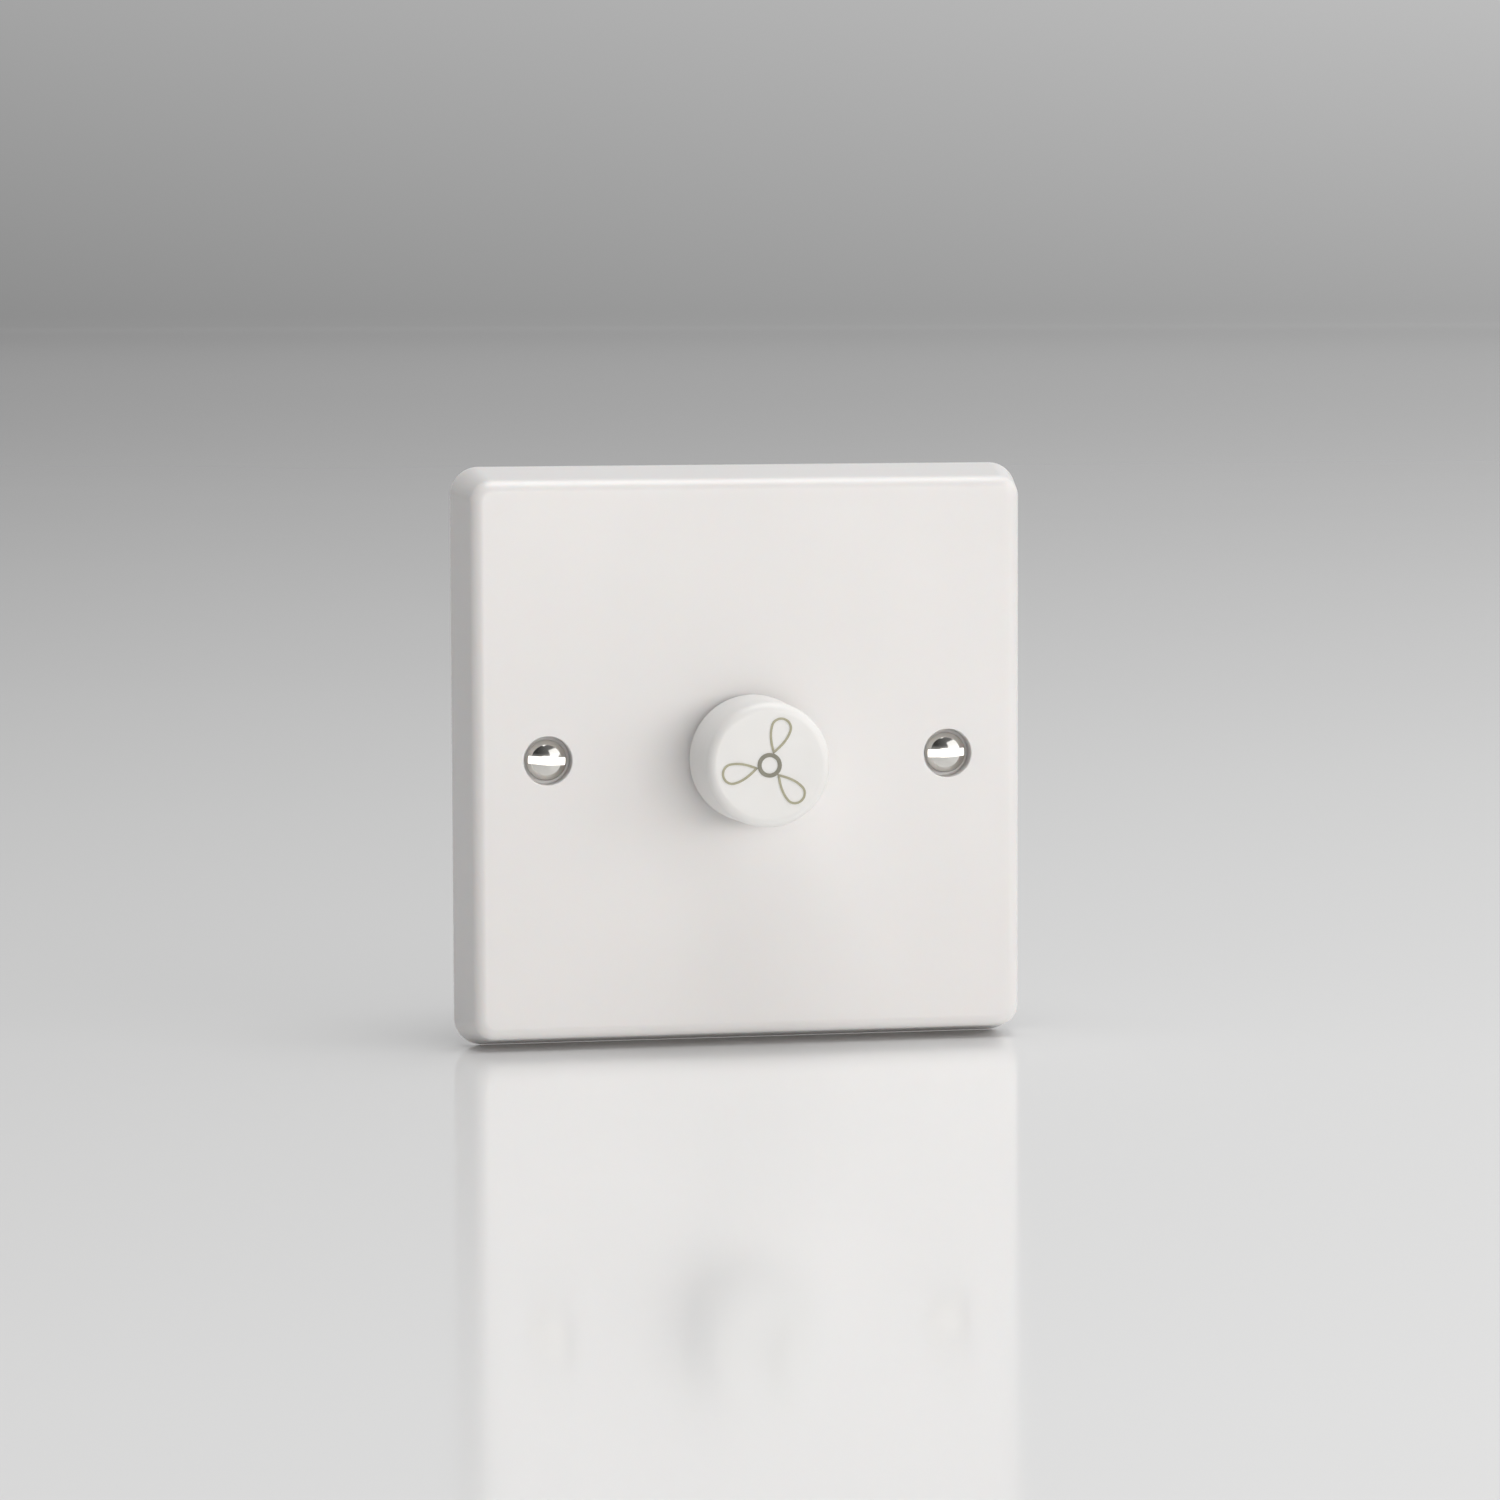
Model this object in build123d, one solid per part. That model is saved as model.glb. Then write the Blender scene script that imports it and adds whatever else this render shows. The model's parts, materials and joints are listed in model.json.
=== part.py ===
from build123d import *
import math
import os

# Rotary push dimmer on a square moulded wall plate. Millimetres, +Z up.
# The origin is on the knob's axis, in the plane of the plate's back rim, where the wall is.
# The front faces -Y, +X is on the right seen from the front, and the wall box lies towards +Y.
# FRONT, BACK and END in a name are depths along Y, so those ahead of the wall are negative.

# How far two shapes that become one piece run into each other, and how far a cut runs past its piece
MERGE = 0.3
OVERCUT = 1.0

# The play of a sliding fit, of a loose hole, and of pieces that never touch
PLAY = 0.05
LOOSE = 0.1
CLEAR = 0.3

# Wall plate: a drafted tray, hollow behind
PLATE = 86.0
PLATE_AT_FACE = 82.0
PLATE_DEPTH = 10.0
PLATE_CORNER = 4.2
PLATE_CORNER_AT_FACE = 3.0
PLATE_EDGE = 2.0
FACE_WALL = 2.5
HOLLOW = 80.0
HOLLOW_AT_FACE = 77.6
HOLLOW_CORNER = 2.2
HOLLOW_CORNER_AT_FACE = 1.0
BOSS_R = 5.2
BOSS_END = -0.5
BOSS_RIB_T = 1.4
BOSS_RIB_END = -2.5
FACE_Y = -PLATE_DEPTH
WALL_BACK = FACE_Y + FACE_WALL

# Fixing screws: domed slotted heads. Each slot is left a few degrees off level, + is clockwise
FIXING_SPACING = 60.3
COUNTERBORE_R = 3.6
COUNTERBORE_DEPTH = 2.6
FIXING_HOLE_R = 2.1
SCREW_HEAD_R = 3.0
SCREW_HEAD_H = 2.5
SCREW_DOME_H = 1.2
SCREW_SHANK_R = 1.55
SCREW_THREAD_R = 1.75
SCREW_THREAD_END = 17.0
SCREW_POINT = 0.6
SLOT_WIDTH = 1.15
SLOT_DEPTH = 1.0
SLOT_TURNS = {-1: 3.2, 1: -1.7}

# Spindle with a flat at each end, and the clip that stops it against the bush
SPINDLE_R = 3.0
SPINDLE_FLAT = 1.5
SPINDLE_FRONT = -22.6
SPINDLE_END = 1.8
SPINDLE_CHAMFER = 0.4
FRONT_FLAT_END = -14.6
REAR_FLAT_FRONT = -4.1
GROOVE_R = 2.3
CLIP_R = 4.6
CLIP_FRONT = -4.75
CLIP_T = 0.6
CLIP_MOUTH = 4.2
CLIP_RELIEF_R = 0.7
CLIP_RELIEF_DEG = 60
PUSH = 1.5
TURN = 135.0

# Knob: a drafted cap with a boss and four ribs inside
KNOB_R = 9.45
KNOB_R_AT_FACE = 9.15
KNOB_FACE_Y = -25.0
KNOB_GAP = 2.2
KNOB_EDGE = 1.4
KNOB_SKIRT_IN_R = 8.0
KNOB_FACE_WALL = 2.0
KNOB_BOSS_R = 4.8
KNOB_BOSS_END = -15.6
KNOB_RIB_T = 1.0
KNOB_RIB_TURNS = (45, 135)
KNOB_RIB_END = -17.0
KNOB_END = FACE_Y - KNOB_GAP
KNOB_INSIDE = KNOB_FACE_Y + KNOB_FACE_WALL
LEAF_T = 0.3
LEAF_W = 2.8
LEAF_FRONT = -21.8
LEAF_END = KNOB_BOSS_END - CLEAR
KNOB_BORE_FLAT = SPINDLE_FLAT + LEAF_T + 2 * PLAY
KNOB_BORE_FRONT = SPINDLE_FRONT - 2 * LOOSE

# Printed fan on the knob's face. The handles shape a blade's side, as shares of its length and half width
PRINT_T = 0.08
HUB_R = 1.8
HUB_LINE = 0.6
BLADES = 3
BLADE_LINE = 0.33
BLADE_TIP = 7.2
BLADE_WIDEST = 5.7
BLADE_HALF = 1.58
BLADE_FIRST = 18.0
BLADE_ROOT = 1.7
BLADE_ROOT_LINE = 0.6
BLADE_INNER_ROOT = BLADE_ROOT + BLADE_ROOT_LINE
ROOT_HANDLE = (0.25, 0.45)
SIDE_HANDLE = 0.6
TIP_HANDLE = 0.55

# Heatsink plate, and the die-cast bush with its nut and washer
HEATSINK_W = 46.0
HEATSINK_H = 68.0
HEATSINK_T = 1.5
HEATSINK_CORNER = 2.0
HEATSINK_BACK = WALL_BACK + HEATSINK_T
BUSH_R = 3.5
BUSH_FRONT = -13.3
BUSH_CHAMFER = 0.4
BUSH_HOLE_R = BUSH_R + LOOSE
BUSH_FLANGE_R = 8.0
BUSH_FLANGE_T = 1.2
LUG_R = 1.0
LUG_Z = 6.3
LUG_FRONT = WALL_BACK + LOOSE
WASHER_T = 0.5
WASHER_R = 5.6
WASHER_TEETH = 10
TOOTH_GAP = (1.4, 0.8)
TOOTH_GAP_R = 4.0
NUT_FLATS = 10.0
NUT_T = 2.0
NUT_END = FACE_Y - WASHER_T
NUT_FRONT = NUT_END - NUT_T

# Potentiometer behind the flange
POT_R = 8.5
POT_IN_R = 7.6
POT_FRONT = HEATSINK_BACK + BUSH_FLANGE_T
POT_BACK = 1.0
ROTOR_R = 6.3
ROTOR_FRONT = -2.3
ROTOR_BACK = -0.6
ROTOR_HUB_R = 3.9
ROTOR_HUB_BACK = POT_BACK - LOOSE
TAB_R = 7.2
TAB_WIDTH = 2.0
STOP_IN_R = 6.65
STOP_BACK = ROTOR_BACK + 2 * LOOSE
STOP_SPARE_DEG = 1.0
WAFER_T = 0.8
TRACK_T = 0.1
TRACK_OUT_R = 6.6
TRACK_IN_R = 5.3
TRACK_GAP_DEG = 70.0
RING_OUT_R = 4.9
RING_IN_R = 4.3
TRACK_FRONT = POT_BACK - WAFER_T - TRACK_T
WIPER_T = 0.25
WIPER_R = 5.0
WIPER_ARM = (3.0, 2.1)
WIPER_ARM_Z = 5.15
WIPER_END = TRACK_FRONT - LOOSE
TRACK_TIP_R = 0.4
TRACK_TIP = (0.8, 5.75)
RING_TIP_R = 0.24
RING_TIP_X = 4.6
STRIP_T = 0.4
TERMINAL_PITCH = 4.0
TERMINAL_W = 1.2
TERMINAL_TOP = -5.4
TERMINAL_BEND = -10.8

# Push switch behind the potentiometer
SWITCH_IN_R = 6.8
SWITCH_BACK = 6.6
COVER_T = 1.0
PLUNGER_R = 3.6
PLUNGER_T = 0.6
STEM_R = 1.4
STEM_END = 7.2
BRIDGE_HALF = 6.3
CONTACT_W = 3.0
CONTACT_X = 5.3
CONTACT_INNER = 4.1
CONTACT_LEG_X = 9.7
CONTACT_SLOT_HALF = 1.55
RIVET_R = 1.0
RIVET_T = 0.4
BRIDGE_FRONT = SPINDLE_END + PLUNGER_T
BRIDGE_BACK = BRIDGE_FRONT + STRIP_T
CONTACT_GAP = 0.1
FIXED_FRONT = BRIDGE_BACK + RIVET_T + PUSH + CONTACT_GAP + RIVET_T
GUIDE_X = 4.5
GUIDE_PLAY = 0.15
GUIDE_T = 0.65
GUIDE_FRONT = POT_BACK + STRIP_T + LOOSE
GUIDE_END = FIXED_FRONT - CLEAR
PROP = (7.0, 8.3)
PROP_HALF = 1.4
SPRING_R = 2.3
SPRING_WIRE_R = 0.18
SPRING_TURNS = 4.0
WIRE_SIDES = 8

# Circuit board, notched for the posts of the case
BOARD_FRONT = 9.2
BOARD_T = 1.6
BOARD_W = 43.4
BOARD_H = 46.4
BOARD_NOTCH = 5.1
BOARD_BACK = BOARD_FRONT + BOARD_T

# Triac on the heatsink, lying on its side above the potentiometer
PAD_T = 0.3
PAD_BORDER = 0.8
TRIAC_Z = 16.0
TRIAC_W = 10.0
TRIAC_LEFT = -3.0
TRIAC_RIGHT = 6.0
TRIAC_BODY_T = 3.2
TRIAC_CHAMFER = 0.5
TAB_LEFT = -9.5
TAB_T = 1.3
TAB_FRONT = HEATSINK_BACK + PAD_T
TAB_BACK = TAB_FRONT + TAB_T
LEG_PITCH = 2.54
LEG_W = 0.8
LEG_T = 0.5
LEG_X = 8.5
LEG_FRONT = TAB_FRONT + 1.8
TRIAC_SCREW_X = -6.5
TRIAC_SCREW_R = 1.5
TRIAC_HOLE_R = TRIAC_SCREW_R + LOOSE
TRIAC_SCREW_HEAD_R = 2.8
TRIAC_SCREW_HEAD_H = 2.0
TRIAC_SCREW_EDGE = 0.7
DRIVER_SLOT = 0.8

# Choke, capacitors, resistors, diode and fuse. Boxes are given as width, depth and height
LEAD_R = 0.35
CHOKE_X = -13.0
CHOKE_Z = -13.4
CHOKE_Y = 3.9
CHOKE_R = 4.9
CORE_R = 2.2
TURN_R = CORE_R + LEAD_R + LOOSE
CHOKE_TURNS = 14
CHOKE_STEP = 22.0
CHOKE_MIDDLE = 45.0
CAPACITOR_EDGE = 0.4
FILM_CAP = (8.5, 11.2, 18.0)
FILM_CAP_X = 15.1
FILM_CAP_Z = -8.5
FILM_CAP_LEAD = 7.5
TIMING_CAP = (7.2, 6.0, 2.6)
TIMING_CAP_X = 15.5
TIMING_CAP_Z = 4.6
TIMING_CAP_LEAD = 2.5
COMPONENT_LIFT = 0.2
RESISTOR_R = 1.5
RESISTOR_LENGTH = 8.6
RESISTOR_SPAN = 13.0
RESISTOR_X = -1.0
RESISTOR_ROWS = (12.6, 16.8, 20.6)
DIODE_R = 0.95
DIODE_LENGTH = 4.2
DIODE_SPAN = 8.0
DIODE_LEAD_R = 0.28
DIODE_X = 14.0
DIODE_Z = 12.6
FUSE_X = -16.0
FUSE_Z = 6.5
FUSE_Y = 4.6
FUSE_R = 2.6
FUSE_LENGTH = 20.0
FUSE_GLASS_R = 2.45
FUSE_GLASS_IN_R = 1.9
FUSE_WIRE_R = 0.15
FUSE_CAP_LENGTH = 5.0
FUSE_CAP_END = 0.6
CLIP_WIDTH = 3.6
CLIP_GRIP_T = 0.4
CLIP_GRIP_GAP = 2.6
CLIP_FOOT_W = 2.4
SOLDER_R = 1.0
SOLDER_TIP_R = 0.45
SOLDER_H = 1.2

# Stepped case: flat over the board, with a hump over the terminals
CASE_W = 47.0
CASE_H = 50.0
CASE_CORNER = 2.5
CASE_WALL = 1.5
CASE_BACK = 14.0
HUMP_BACK = 22.0
HUMP_TOP = -12.0
POST_R = 2.6
POST_X = 20.0
POST_Z = 21.5
POST_WEB_T = 1.2
PILOT_END = 6.5
LEDGE_X = (20.3, 22.5)
LEDGE_HALF = 6.0
PARTITION_T = 1.2
VENTS = 5
VENT_LOW = -2.0
VENT_PITCH = 5.0
VENT = (18.0, 1.6)
CASE_SCREW_R = 1.25
CASE_SCREW_HEAD_R = 2.4
CASE_SCREW_LENGTH = 11.0
CROSS = (3.0, 0.6)
CROSS_DEPTH = 0.6

# Terminals in the hump
CLAMP_PITCH = 10.5
CLAMP_X = (-CLAMP_PITCH, 0.0, CLAMP_PITCH)
CLAMP_W = 7.0
CLAMP_FRONT = 12.0
CLAMP_BACK = 19.0
CLAMP_LOW = -23.3
CLAMP_H = 9.0
CLAMP_CHAMFER = 0.4
CLAMP_PIN = 1.2
CLAMP_PIN_LOW = -17.3
WIRE_HOLE_R = 1.6
WIRE_Y = 14.6
WIRE_ENTRY_R = 2.2
CLAMP_SCREW_R = 1.5
CLAMP_SCREW_HEAD_R = 2.3
CLAMP_SCREW_HEAD_H = 1.4
CLAMP_SCREW_EDGE = 0.4
CLAMP_SCREW_Z = CLAMP_LOW + CLAMP_H / 2
DRIVER_HOLE_R = 2.6


def at(y):
    """Plane facing the front at depth y, with its x to the right and its y up."""
    return Plane(origin=(0, y, 0), x_dir=(1, 0, 0), z_dir=(0, -1, 0))


def slab(outline, front, back):
    """An outline, drawn as seen from the front, made solid from depth front to depth back."""
    return extrude(at(back) * outline, amount=back - front)


def disc(radius, front, back, x=0.0, z=0.0):
    """A cylinder along Y."""
    return slab(Pos(x, z) * Circle(radius), front, back)


def block(x, y, z):
    """A box from three pairs of limits, each in any order."""
    size = [abs(pair[1] - pair[0]) for pair in (x, y, z)]
    middle = [sum(pair) / 2 for pair in (x, y, z)]
    return Pos(*middle) * Box(*size)


def about(middle, width):
    """The pair of limits of a width about its middle."""
    return (middle - width / 2, middle + width / 2)


def ring_cut(shape, radius, front, back, x=0.0, z=0.0):
    """The shape with a round hole along Y."""
    return shape - disc(radius, front, back, x, z)


def group(pieces):
    """Separate solids kept together in one sub-part."""
    return Compound(children=[solid for piece in pieces for solid in piece.solids()])


def front_edges(shape):
    return shape.faces().sort_by(Axis.Y)[0].edges()


def back_edges(shape):
    return shape.faces().sort_by(Axis.Y)[-1].edges()


def flat_section(radius, flat):
    """A round section with a flat on its upper side."""
    return Circle(radius) - Pos(0, flat + radius) * Rectangle(3 * radius, 2 * radius)


def wedge(radius, middle_deg, half_deg):
    """Three-sided face from the axis outwards, about an angle from +X as seen from the front."""
    reach = 2 * radius
    start = math.radians(middle_deg - half_deg)
    end = math.radians(middle_deg + half_deg)
    left = (reach * math.cos(start), reach * math.sin(start))
    right = (reach * math.cos(end), reach * math.sin(end))
    return make_face(Polyline((0, 0), left, right, (0, 0)))


def corners():
    """Centres of the four corner posts, as x and z."""
    return [(side * POST_X, up * POST_Z) for side in (-1, 1) for up in (-1, 1)]


def front_plate():
    """Drafted tray with a soft front edge, and a ribbed boss round each fixing hole."""
    rim = at(0) * RectangleRounded(PLATE, PLATE, PLATE_CORNER)
    face = at(FACE_Y) * RectangleRounded(PLATE_AT_FACE, PLATE_AT_FACE, PLATE_CORNER_AT_FACE)
    plate = loft([rim, face])
    plate = fillet(front_edges(plate), PLATE_EDGE)
    mouth = at(0) * RectangleRounded(HOLLOW, HOLLOW, HOLLOW_CORNER)
    floor = at(WALL_BACK) * RectangleRounded(
        HOLLOW_AT_FACE, HOLLOW_AT_FACE, HOLLOW_CORNER_AT_FACE
    )
    plate = plate - loft([mouth, floor])
    for side in (-1, 1):
        x = side * FIXING_SPACING / 2
        plate = plate + disc(BOSS_R, WALL_BACK, BOSS_END, x)
        rib_x = (x + side * (BOSS_R - MERGE), side * (HOLLOW / 2 + MERGE))
        plate = plate + block(rib_x, (WALL_BACK, BOSS_RIB_END), about(0, BOSS_RIB_T))
        plate = ring_cut(plate, COUNTERBORE_R, FACE_Y, FACE_Y + COUNTERBORE_DEPTH, x)
        plate = ring_cut(plate, FIXING_HOLE_R, FACE_Y, 0, x)
    return ring_cut(plate, BUSH_HOLE_R, FACE_Y, WALL_BACK)


def fixing_screws():
    """Domed slotted heads on reduced shanks, with the thread from the wall plane on."""
    seat = FACE_Y + COUNTERBORE_DEPTH
    top = seat - SCREW_HEAD_H
    ball_r = (SCREW_HEAD_R**2 + SCREW_DOME_H**2) / (2 * SCREW_DOME_H)
    screws = []
    for side in (-1, 1):
        head = disc(SCREW_HEAD_R, top, seat) & (Pos(0, top + ball_r, 0) * Sphere(ball_r))
        slot_length = 3 * SCREW_HEAD_R
        slot = block(about(0, slot_length), (top - OVERCUT, top + SLOT_DEPTH), about(0, SLOT_WIDTH))
        head = head - Rot(0, SLOT_TURNS[side], 0) * slot
        thread = disc(SCREW_THREAD_R, 0, SCREW_THREAD_END)
        thread = chamfer(back_edges(thread), SCREW_POINT)
        screw = head + disc(SCREW_SHANK_R, seat, 0) + thread
        screws.append(Pos(side * FIXING_SPACING / 2, 0, 0) * screw)
    return group(screws)


def knob():
    """A drafted cap with a wide soft front edge, a boss for the spindle and four ribs."""
    rim = at(KNOB_END) * Circle(KNOB_R)
    face = at(KNOB_FACE_Y) * Circle(KNOB_R_AT_FACE)
    cap = loft([rim, face])
    cap = fillet(front_edges(cap), KNOB_EDGE)
    cap = cap - disc(KNOB_SKIRT_IN_R, KNOB_INSIDE, KNOB_END)
    core = disc(KNOB_BOSS_R, KNOB_INSIDE, KNOB_BOSS_END)
    rib_length = 2 * (KNOB_SKIRT_IN_R + MERGE)
    rib = block(about(0, rib_length), (KNOB_INSIDE, KNOB_RIB_END), about(0, KNOB_RIB_T))
    for turn in KNOB_RIB_TURNS:
        core = core + Rot(0, turn, 0) * rib
    bore = flat_section(SPINDLE_R + PLAY / 2, KNOB_BORE_FLAT)
    return cap + core - slab(bore, KNOB_BORE_FRONT, KNOB_BOSS_END)


def knob_spring():
    """Leaf that takes up the play between the spindle's flat and the knob's bore."""
    leaf_z = (SPINDLE_FLAT, SPINDLE_FLAT + LEAF_T)
    return block(about(0, LEAF_W), (LEAF_FRONT, LEAF_END), leaf_z)


def teardrop(root, tip, half):
    """Closed outline of one blade along +x, pointed at its root and widest near its tip."""
    rise = BLADE_WIDEST - root
    fall = tip - BLADE_WIDEST
    sides = []
    for side in (-1, 1):
        widest = (BLADE_WIDEST, side * half)
        leave = (root + ROOT_HANDLE[0] * rise, side * ROOT_HANDLE[1] * half)
        arrive = (root + SIDE_HANDLE * rise, side * half)
        sides.append(Bezier((root, 0), leave, arrive, widest))
        leave = (BLADE_WIDEST + TIP_HANDLE * fall, side * half)
        arrive = (tip, side * TIP_HANDLE * half)
        sides.append(Bezier(widest, leave, arrive, (tip, 0)))
    return make_face(sides)


def fan_symbol():
    """Three outlined blades round a ring, printed on the knob's face."""
    blade = teardrop(BLADE_ROOT, BLADE_TIP, BLADE_HALF)
    blade = blade - teardrop(BLADE_INNER_ROOT, BLADE_TIP - BLADE_LINE, BLADE_HALF - BLADE_LINE)
    mark = Circle(HUB_R) - Circle(HUB_R - HUB_LINE)
    for i in range(BLADES):
        mark = mark + Rot(0, 0, 90 - BLADE_FIRST - i * 360 / BLADES) * blade
    return slab(mark, KNOB_FACE_Y - PRINT_T, KNOB_FACE_Y)


def spindle():
    section = flat_section(SPINDLE_R, SPINDLE_FLAT)
    rod = disc(SPINDLE_R, FRONT_FLAT_END, REAR_FLAT_FRONT)
    rod = rod + slab(section, SPINDLE_FRONT, FRONT_FLAT_END)
    rod = rod + slab(section, REAR_FLAT_FRONT, SPINDLE_END)
    groove = Circle(SPINDLE_R + OVERCUT) - Circle(GROOVE_R)
    rod = rod - slab(groove, CLIP_FRONT, CLIP_FRONT + CLIP_T)
    return chamfer(front_edges(rod).filter_by(GeomType.CIRCLE), SPINDLE_CHAMFER)


def retaining_clip():
    """E-shaped clip in the spindle's groove, which stops the spindle against the bush."""
    shape = Circle(CLIP_R) - Circle(GROOVE_R)
    shape = shape - Pos(0, -CLIP_R) * Rectangle(CLIP_MOUTH, 2 * CLIP_R)
    relief = Pos(0, GROOVE_R + MERGE) * Circle(CLIP_RELIEF_R)
    for side in (-1, 1):
        shape = shape - Rot(0, 0, side * CLIP_RELIEF_DEG) * relief
    return slab(shape, CLIP_FRONT, CLIP_FRONT + CLIP_T)


def pot_bush():
    """Die-cast flange and threaded bush in one, with a lug that stops it turning."""
    bush = disc(BUSH_R, BUSH_FRONT, HEATSINK_BACK)
    bush = chamfer(front_edges(bush), BUSH_CHAMFER)
    bush = bush + disc(BUSH_FLANGE_R, HEATSINK_BACK, POT_FRONT)
    bush = bush + disc(LUG_R, LUG_FRONT, HEATSINK_BACK, 0, LUG_Z)
    return ring_cut(bush, SPINDLE_R + PLAY, BUSH_FRONT, POT_FRONT)


def bush_nut():
    nut = slab(RegularPolygon(NUT_FLATS / math.sqrt(3), 6), NUT_FRONT, NUT_END)
    return ring_cut(nut, BUSH_R, NUT_FRONT, NUT_END)


def lock_washer():
    """Washer with inner teeth."""
    shape = Circle(WASHER_R) - Circle(BUSH_HOLE_R)
    gap = Pos(TOOTH_GAP_R, 0) * Rectangle(*TOOTH_GAP)
    for i in range(WASHER_TEETH):
        shape = shape - Rot(0, 0, i * 360 / WASHER_TEETH) * gap
    return slab(shape, NUT_END, FACE_Y)


def heatsink_plate():
    """Punched plate between the wall plate and the case, countersunk for the case screws."""
    outline = RectangleRounded(HEATSINK_W, HEATSINK_H, HEATSINK_CORNER)
    outline = outline - Circle(BUSH_HOLE_R)
    outline = outline - Pos(0, LUG_Z) * Circle(LUG_R + LOOSE)
    outline = outline - Pos(TRIAC_SCREW_X, TRIAC_Z) * Circle(TRIAC_SCREW_R)
    plate = slab(outline, WALL_BACK, HEATSINK_BACK)
    sink = Rot(-90, 0, 0) * Cone(CASE_SCREW_HEAD_R + LOOSE, CASE_SCREW_R + LOOSE, HEATSINK_T)
    for x, z in corners():
        plate = plate - Pos(x, (WALL_BACK + HEATSINK_BACK) / 2, z) * sink
    return plate


def pot_housing():
    """Moulded drum with the end stop inside it."""
    drum = slab(Circle(POT_R) - Circle(POT_IN_R), POT_FRONT, POT_BACK)
    half_tab = math.degrees(math.asin(TAB_WIDTH / 2 / TAB_R))
    half_stop = 180 - TURN - half_tab - STOP_SPARE_DEG
    stop = Circle(POT_IN_R + MERGE) - Circle(STOP_IN_R)
    stop = stop & wedge(POT_IN_R, -90, half_stop)
    return drum + slab(stop, POT_FRONT, STOP_BACK)


def track_wafer():
    shape = Circle(POT_IN_R - PLAY) - Circle(ROTOR_HUB_R + PLAY)
    return slab(shape, POT_BACK - WAFER_T, POT_BACK)


def resistive_track():
    """Open carbon track outside a closed collector ring."""
    open_track = Circle(TRACK_OUT_R) - Circle(TRACK_IN_R)
    open_track = open_track - wedge(TRACK_OUT_R, -90, TRACK_GAP_DEG / 2)
    ring = Circle(RING_OUT_R) - Circle(RING_IN_R)
    return group(slab(shape, TRACK_FRONT, TRACK_FRONT + TRACK_T) for shape in (open_track, ring))


def pot_terminals():
    """Three strips from the wafer's back, bent to meet the circuit board."""
    strips = []
    for i in (-1, 0, 1):
        x = about(i * TERMINAL_PITCH, TERMINAL_W)
        flat = block(x, (POT_BACK, POT_BACK + STRIP_T), (TERMINAL_BEND, TERMINAL_TOP))
        leg = block(x, (POT_BACK, BOARD_FRONT), (TERMINAL_BEND - STRIP_T, TERMINAL_BEND))
        strips.append(flat + leg)
    return group(strips)


def wiper_rotor():
    """Moulded disc that the spindle's rear flat turns, with a tab for the end stop."""
    rotor = disc(ROTOR_R, ROTOR_FRONT, ROTOR_BACK)
    tab = block(about(0, TAB_WIDTH), (ROTOR_FRONT, ROTOR_BACK), (ROTOR_R - MERGE, TAB_R))
    rotor = rotor + tab + disc(ROTOR_HUB_R, ROTOR_BACK, ROTOR_HUB_BACK)
    hole = flat_section(SPINDLE_R + PLAY, SPINDLE_FLAT + PLAY)
    return rotor - slab(hole, ROTOR_FRONT, POT_BACK)


def wiper_contact():
    """Spring brass plate on the rotor's back, with two tips over each track."""
    shape = Circle(WIPER_R) + Pos(0, WIPER_ARM_Z) * Rectangle(*WIPER_ARM)
    plate = slab(shape - Circle(ROTOR_HUB_R), ROTOR_BACK, ROTOR_BACK + WIPER_T)
    for side in (-1, 1):
        plate = plate + disc(TRACK_TIP_R, ROTOR_BACK, WIPER_END, side * TRACK_TIP[0], TRACK_TIP[1])
        plate = plate + disc(RING_TIP_R, ROTOR_BACK, WIPER_END, side * RING_TIP_X, 0)
    return plate


def switch_base():
    """Moulded drum with guides for the bridge, slotted at the back for the fixed contacts."""
    base = slab(Circle(POT_R) - Circle(SWITCH_IN_R), POT_BACK, SWITCH_BACK)
    guide_low = CONTACT_W / 2 + GUIDE_PLAY
    for side in (-1, 1):
        guide_x = (side * GUIDE_X, side * (SWITCH_IN_R + MERGE))
        for up in (-1, 1):
            guide_z = (up * guide_low, up * (guide_low + GUIDE_T))
            base = base + block(guide_x, (GUIDE_FRONT, GUIDE_END), guide_z)
        slot_x = (side * (SWITCH_IN_R - MERGE), side * (POT_R + MERGE))
        base = base - block(slot_x, (FIXED_FRONT, SWITCH_BACK), about(0, 2 * CONTACT_SLOT_HALF))
    for i in (-1, 0, 1):
        way_x = about(i * TERMINAL_PITCH, TERMINAL_W + 2 * LOOSE)
        way_z = (-POT_R - OVERCUT, TERMINAL_TOP + OVERCUT)
        base = base - block(way_x, (POT_BACK, POT_BACK + STRIP_T), way_z)
    return base


def switch_contacts():
    """Two fixed contacts that run out through the base and back to the board."""
    strips = []
    for side in (-1, 1):
        z = about(0, CONTACT_W)
        flat_x = (side * CONTACT_INNER, side * CONTACT_LEG_X)
        flat = block(flat_x, (FIXED_FRONT, FIXED_FRONT + STRIP_T), z)
        leg_x = (side * CONTACT_LEG_X, side * (CONTACT_LEG_X + STRIP_T))
        leg = block(leg_x, (FIXED_FRONT, BOARD_FRONT), z)
        rivet = disc(RIVET_R, FIXED_FRONT - RIVET_T, FIXED_FRONT, side * CONTACT_X)
        strips.append(flat + leg + rivet)
    return group(strips)


def switch_cover():
    """Lid that holds the fixed contacts down and guides the plunger's stem."""
    cover = disc(POT_R, SWITCH_BACK, SWITCH_BACK + COVER_T)
    for side in (-1, 1):
        prop_x = (side * PROP[0], side * PROP[1])
        prop_y = (FIXED_FRONT + STRIP_T, SWITCH_BACK)
        cover = cover + block(prop_x, prop_y, about(0, 2 * PROP_HALF))
    return ring_cut(cover, STEM_R + PLAY, SWITCH_BACK, SWITCH_BACK + COVER_T)


def switch_plunger():
    return disc(PLUNGER_R, SPINDLE_END, BRIDGE_FRONT) + disc(STEM_R, BRIDGE_FRONT, STEM_END)


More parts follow.
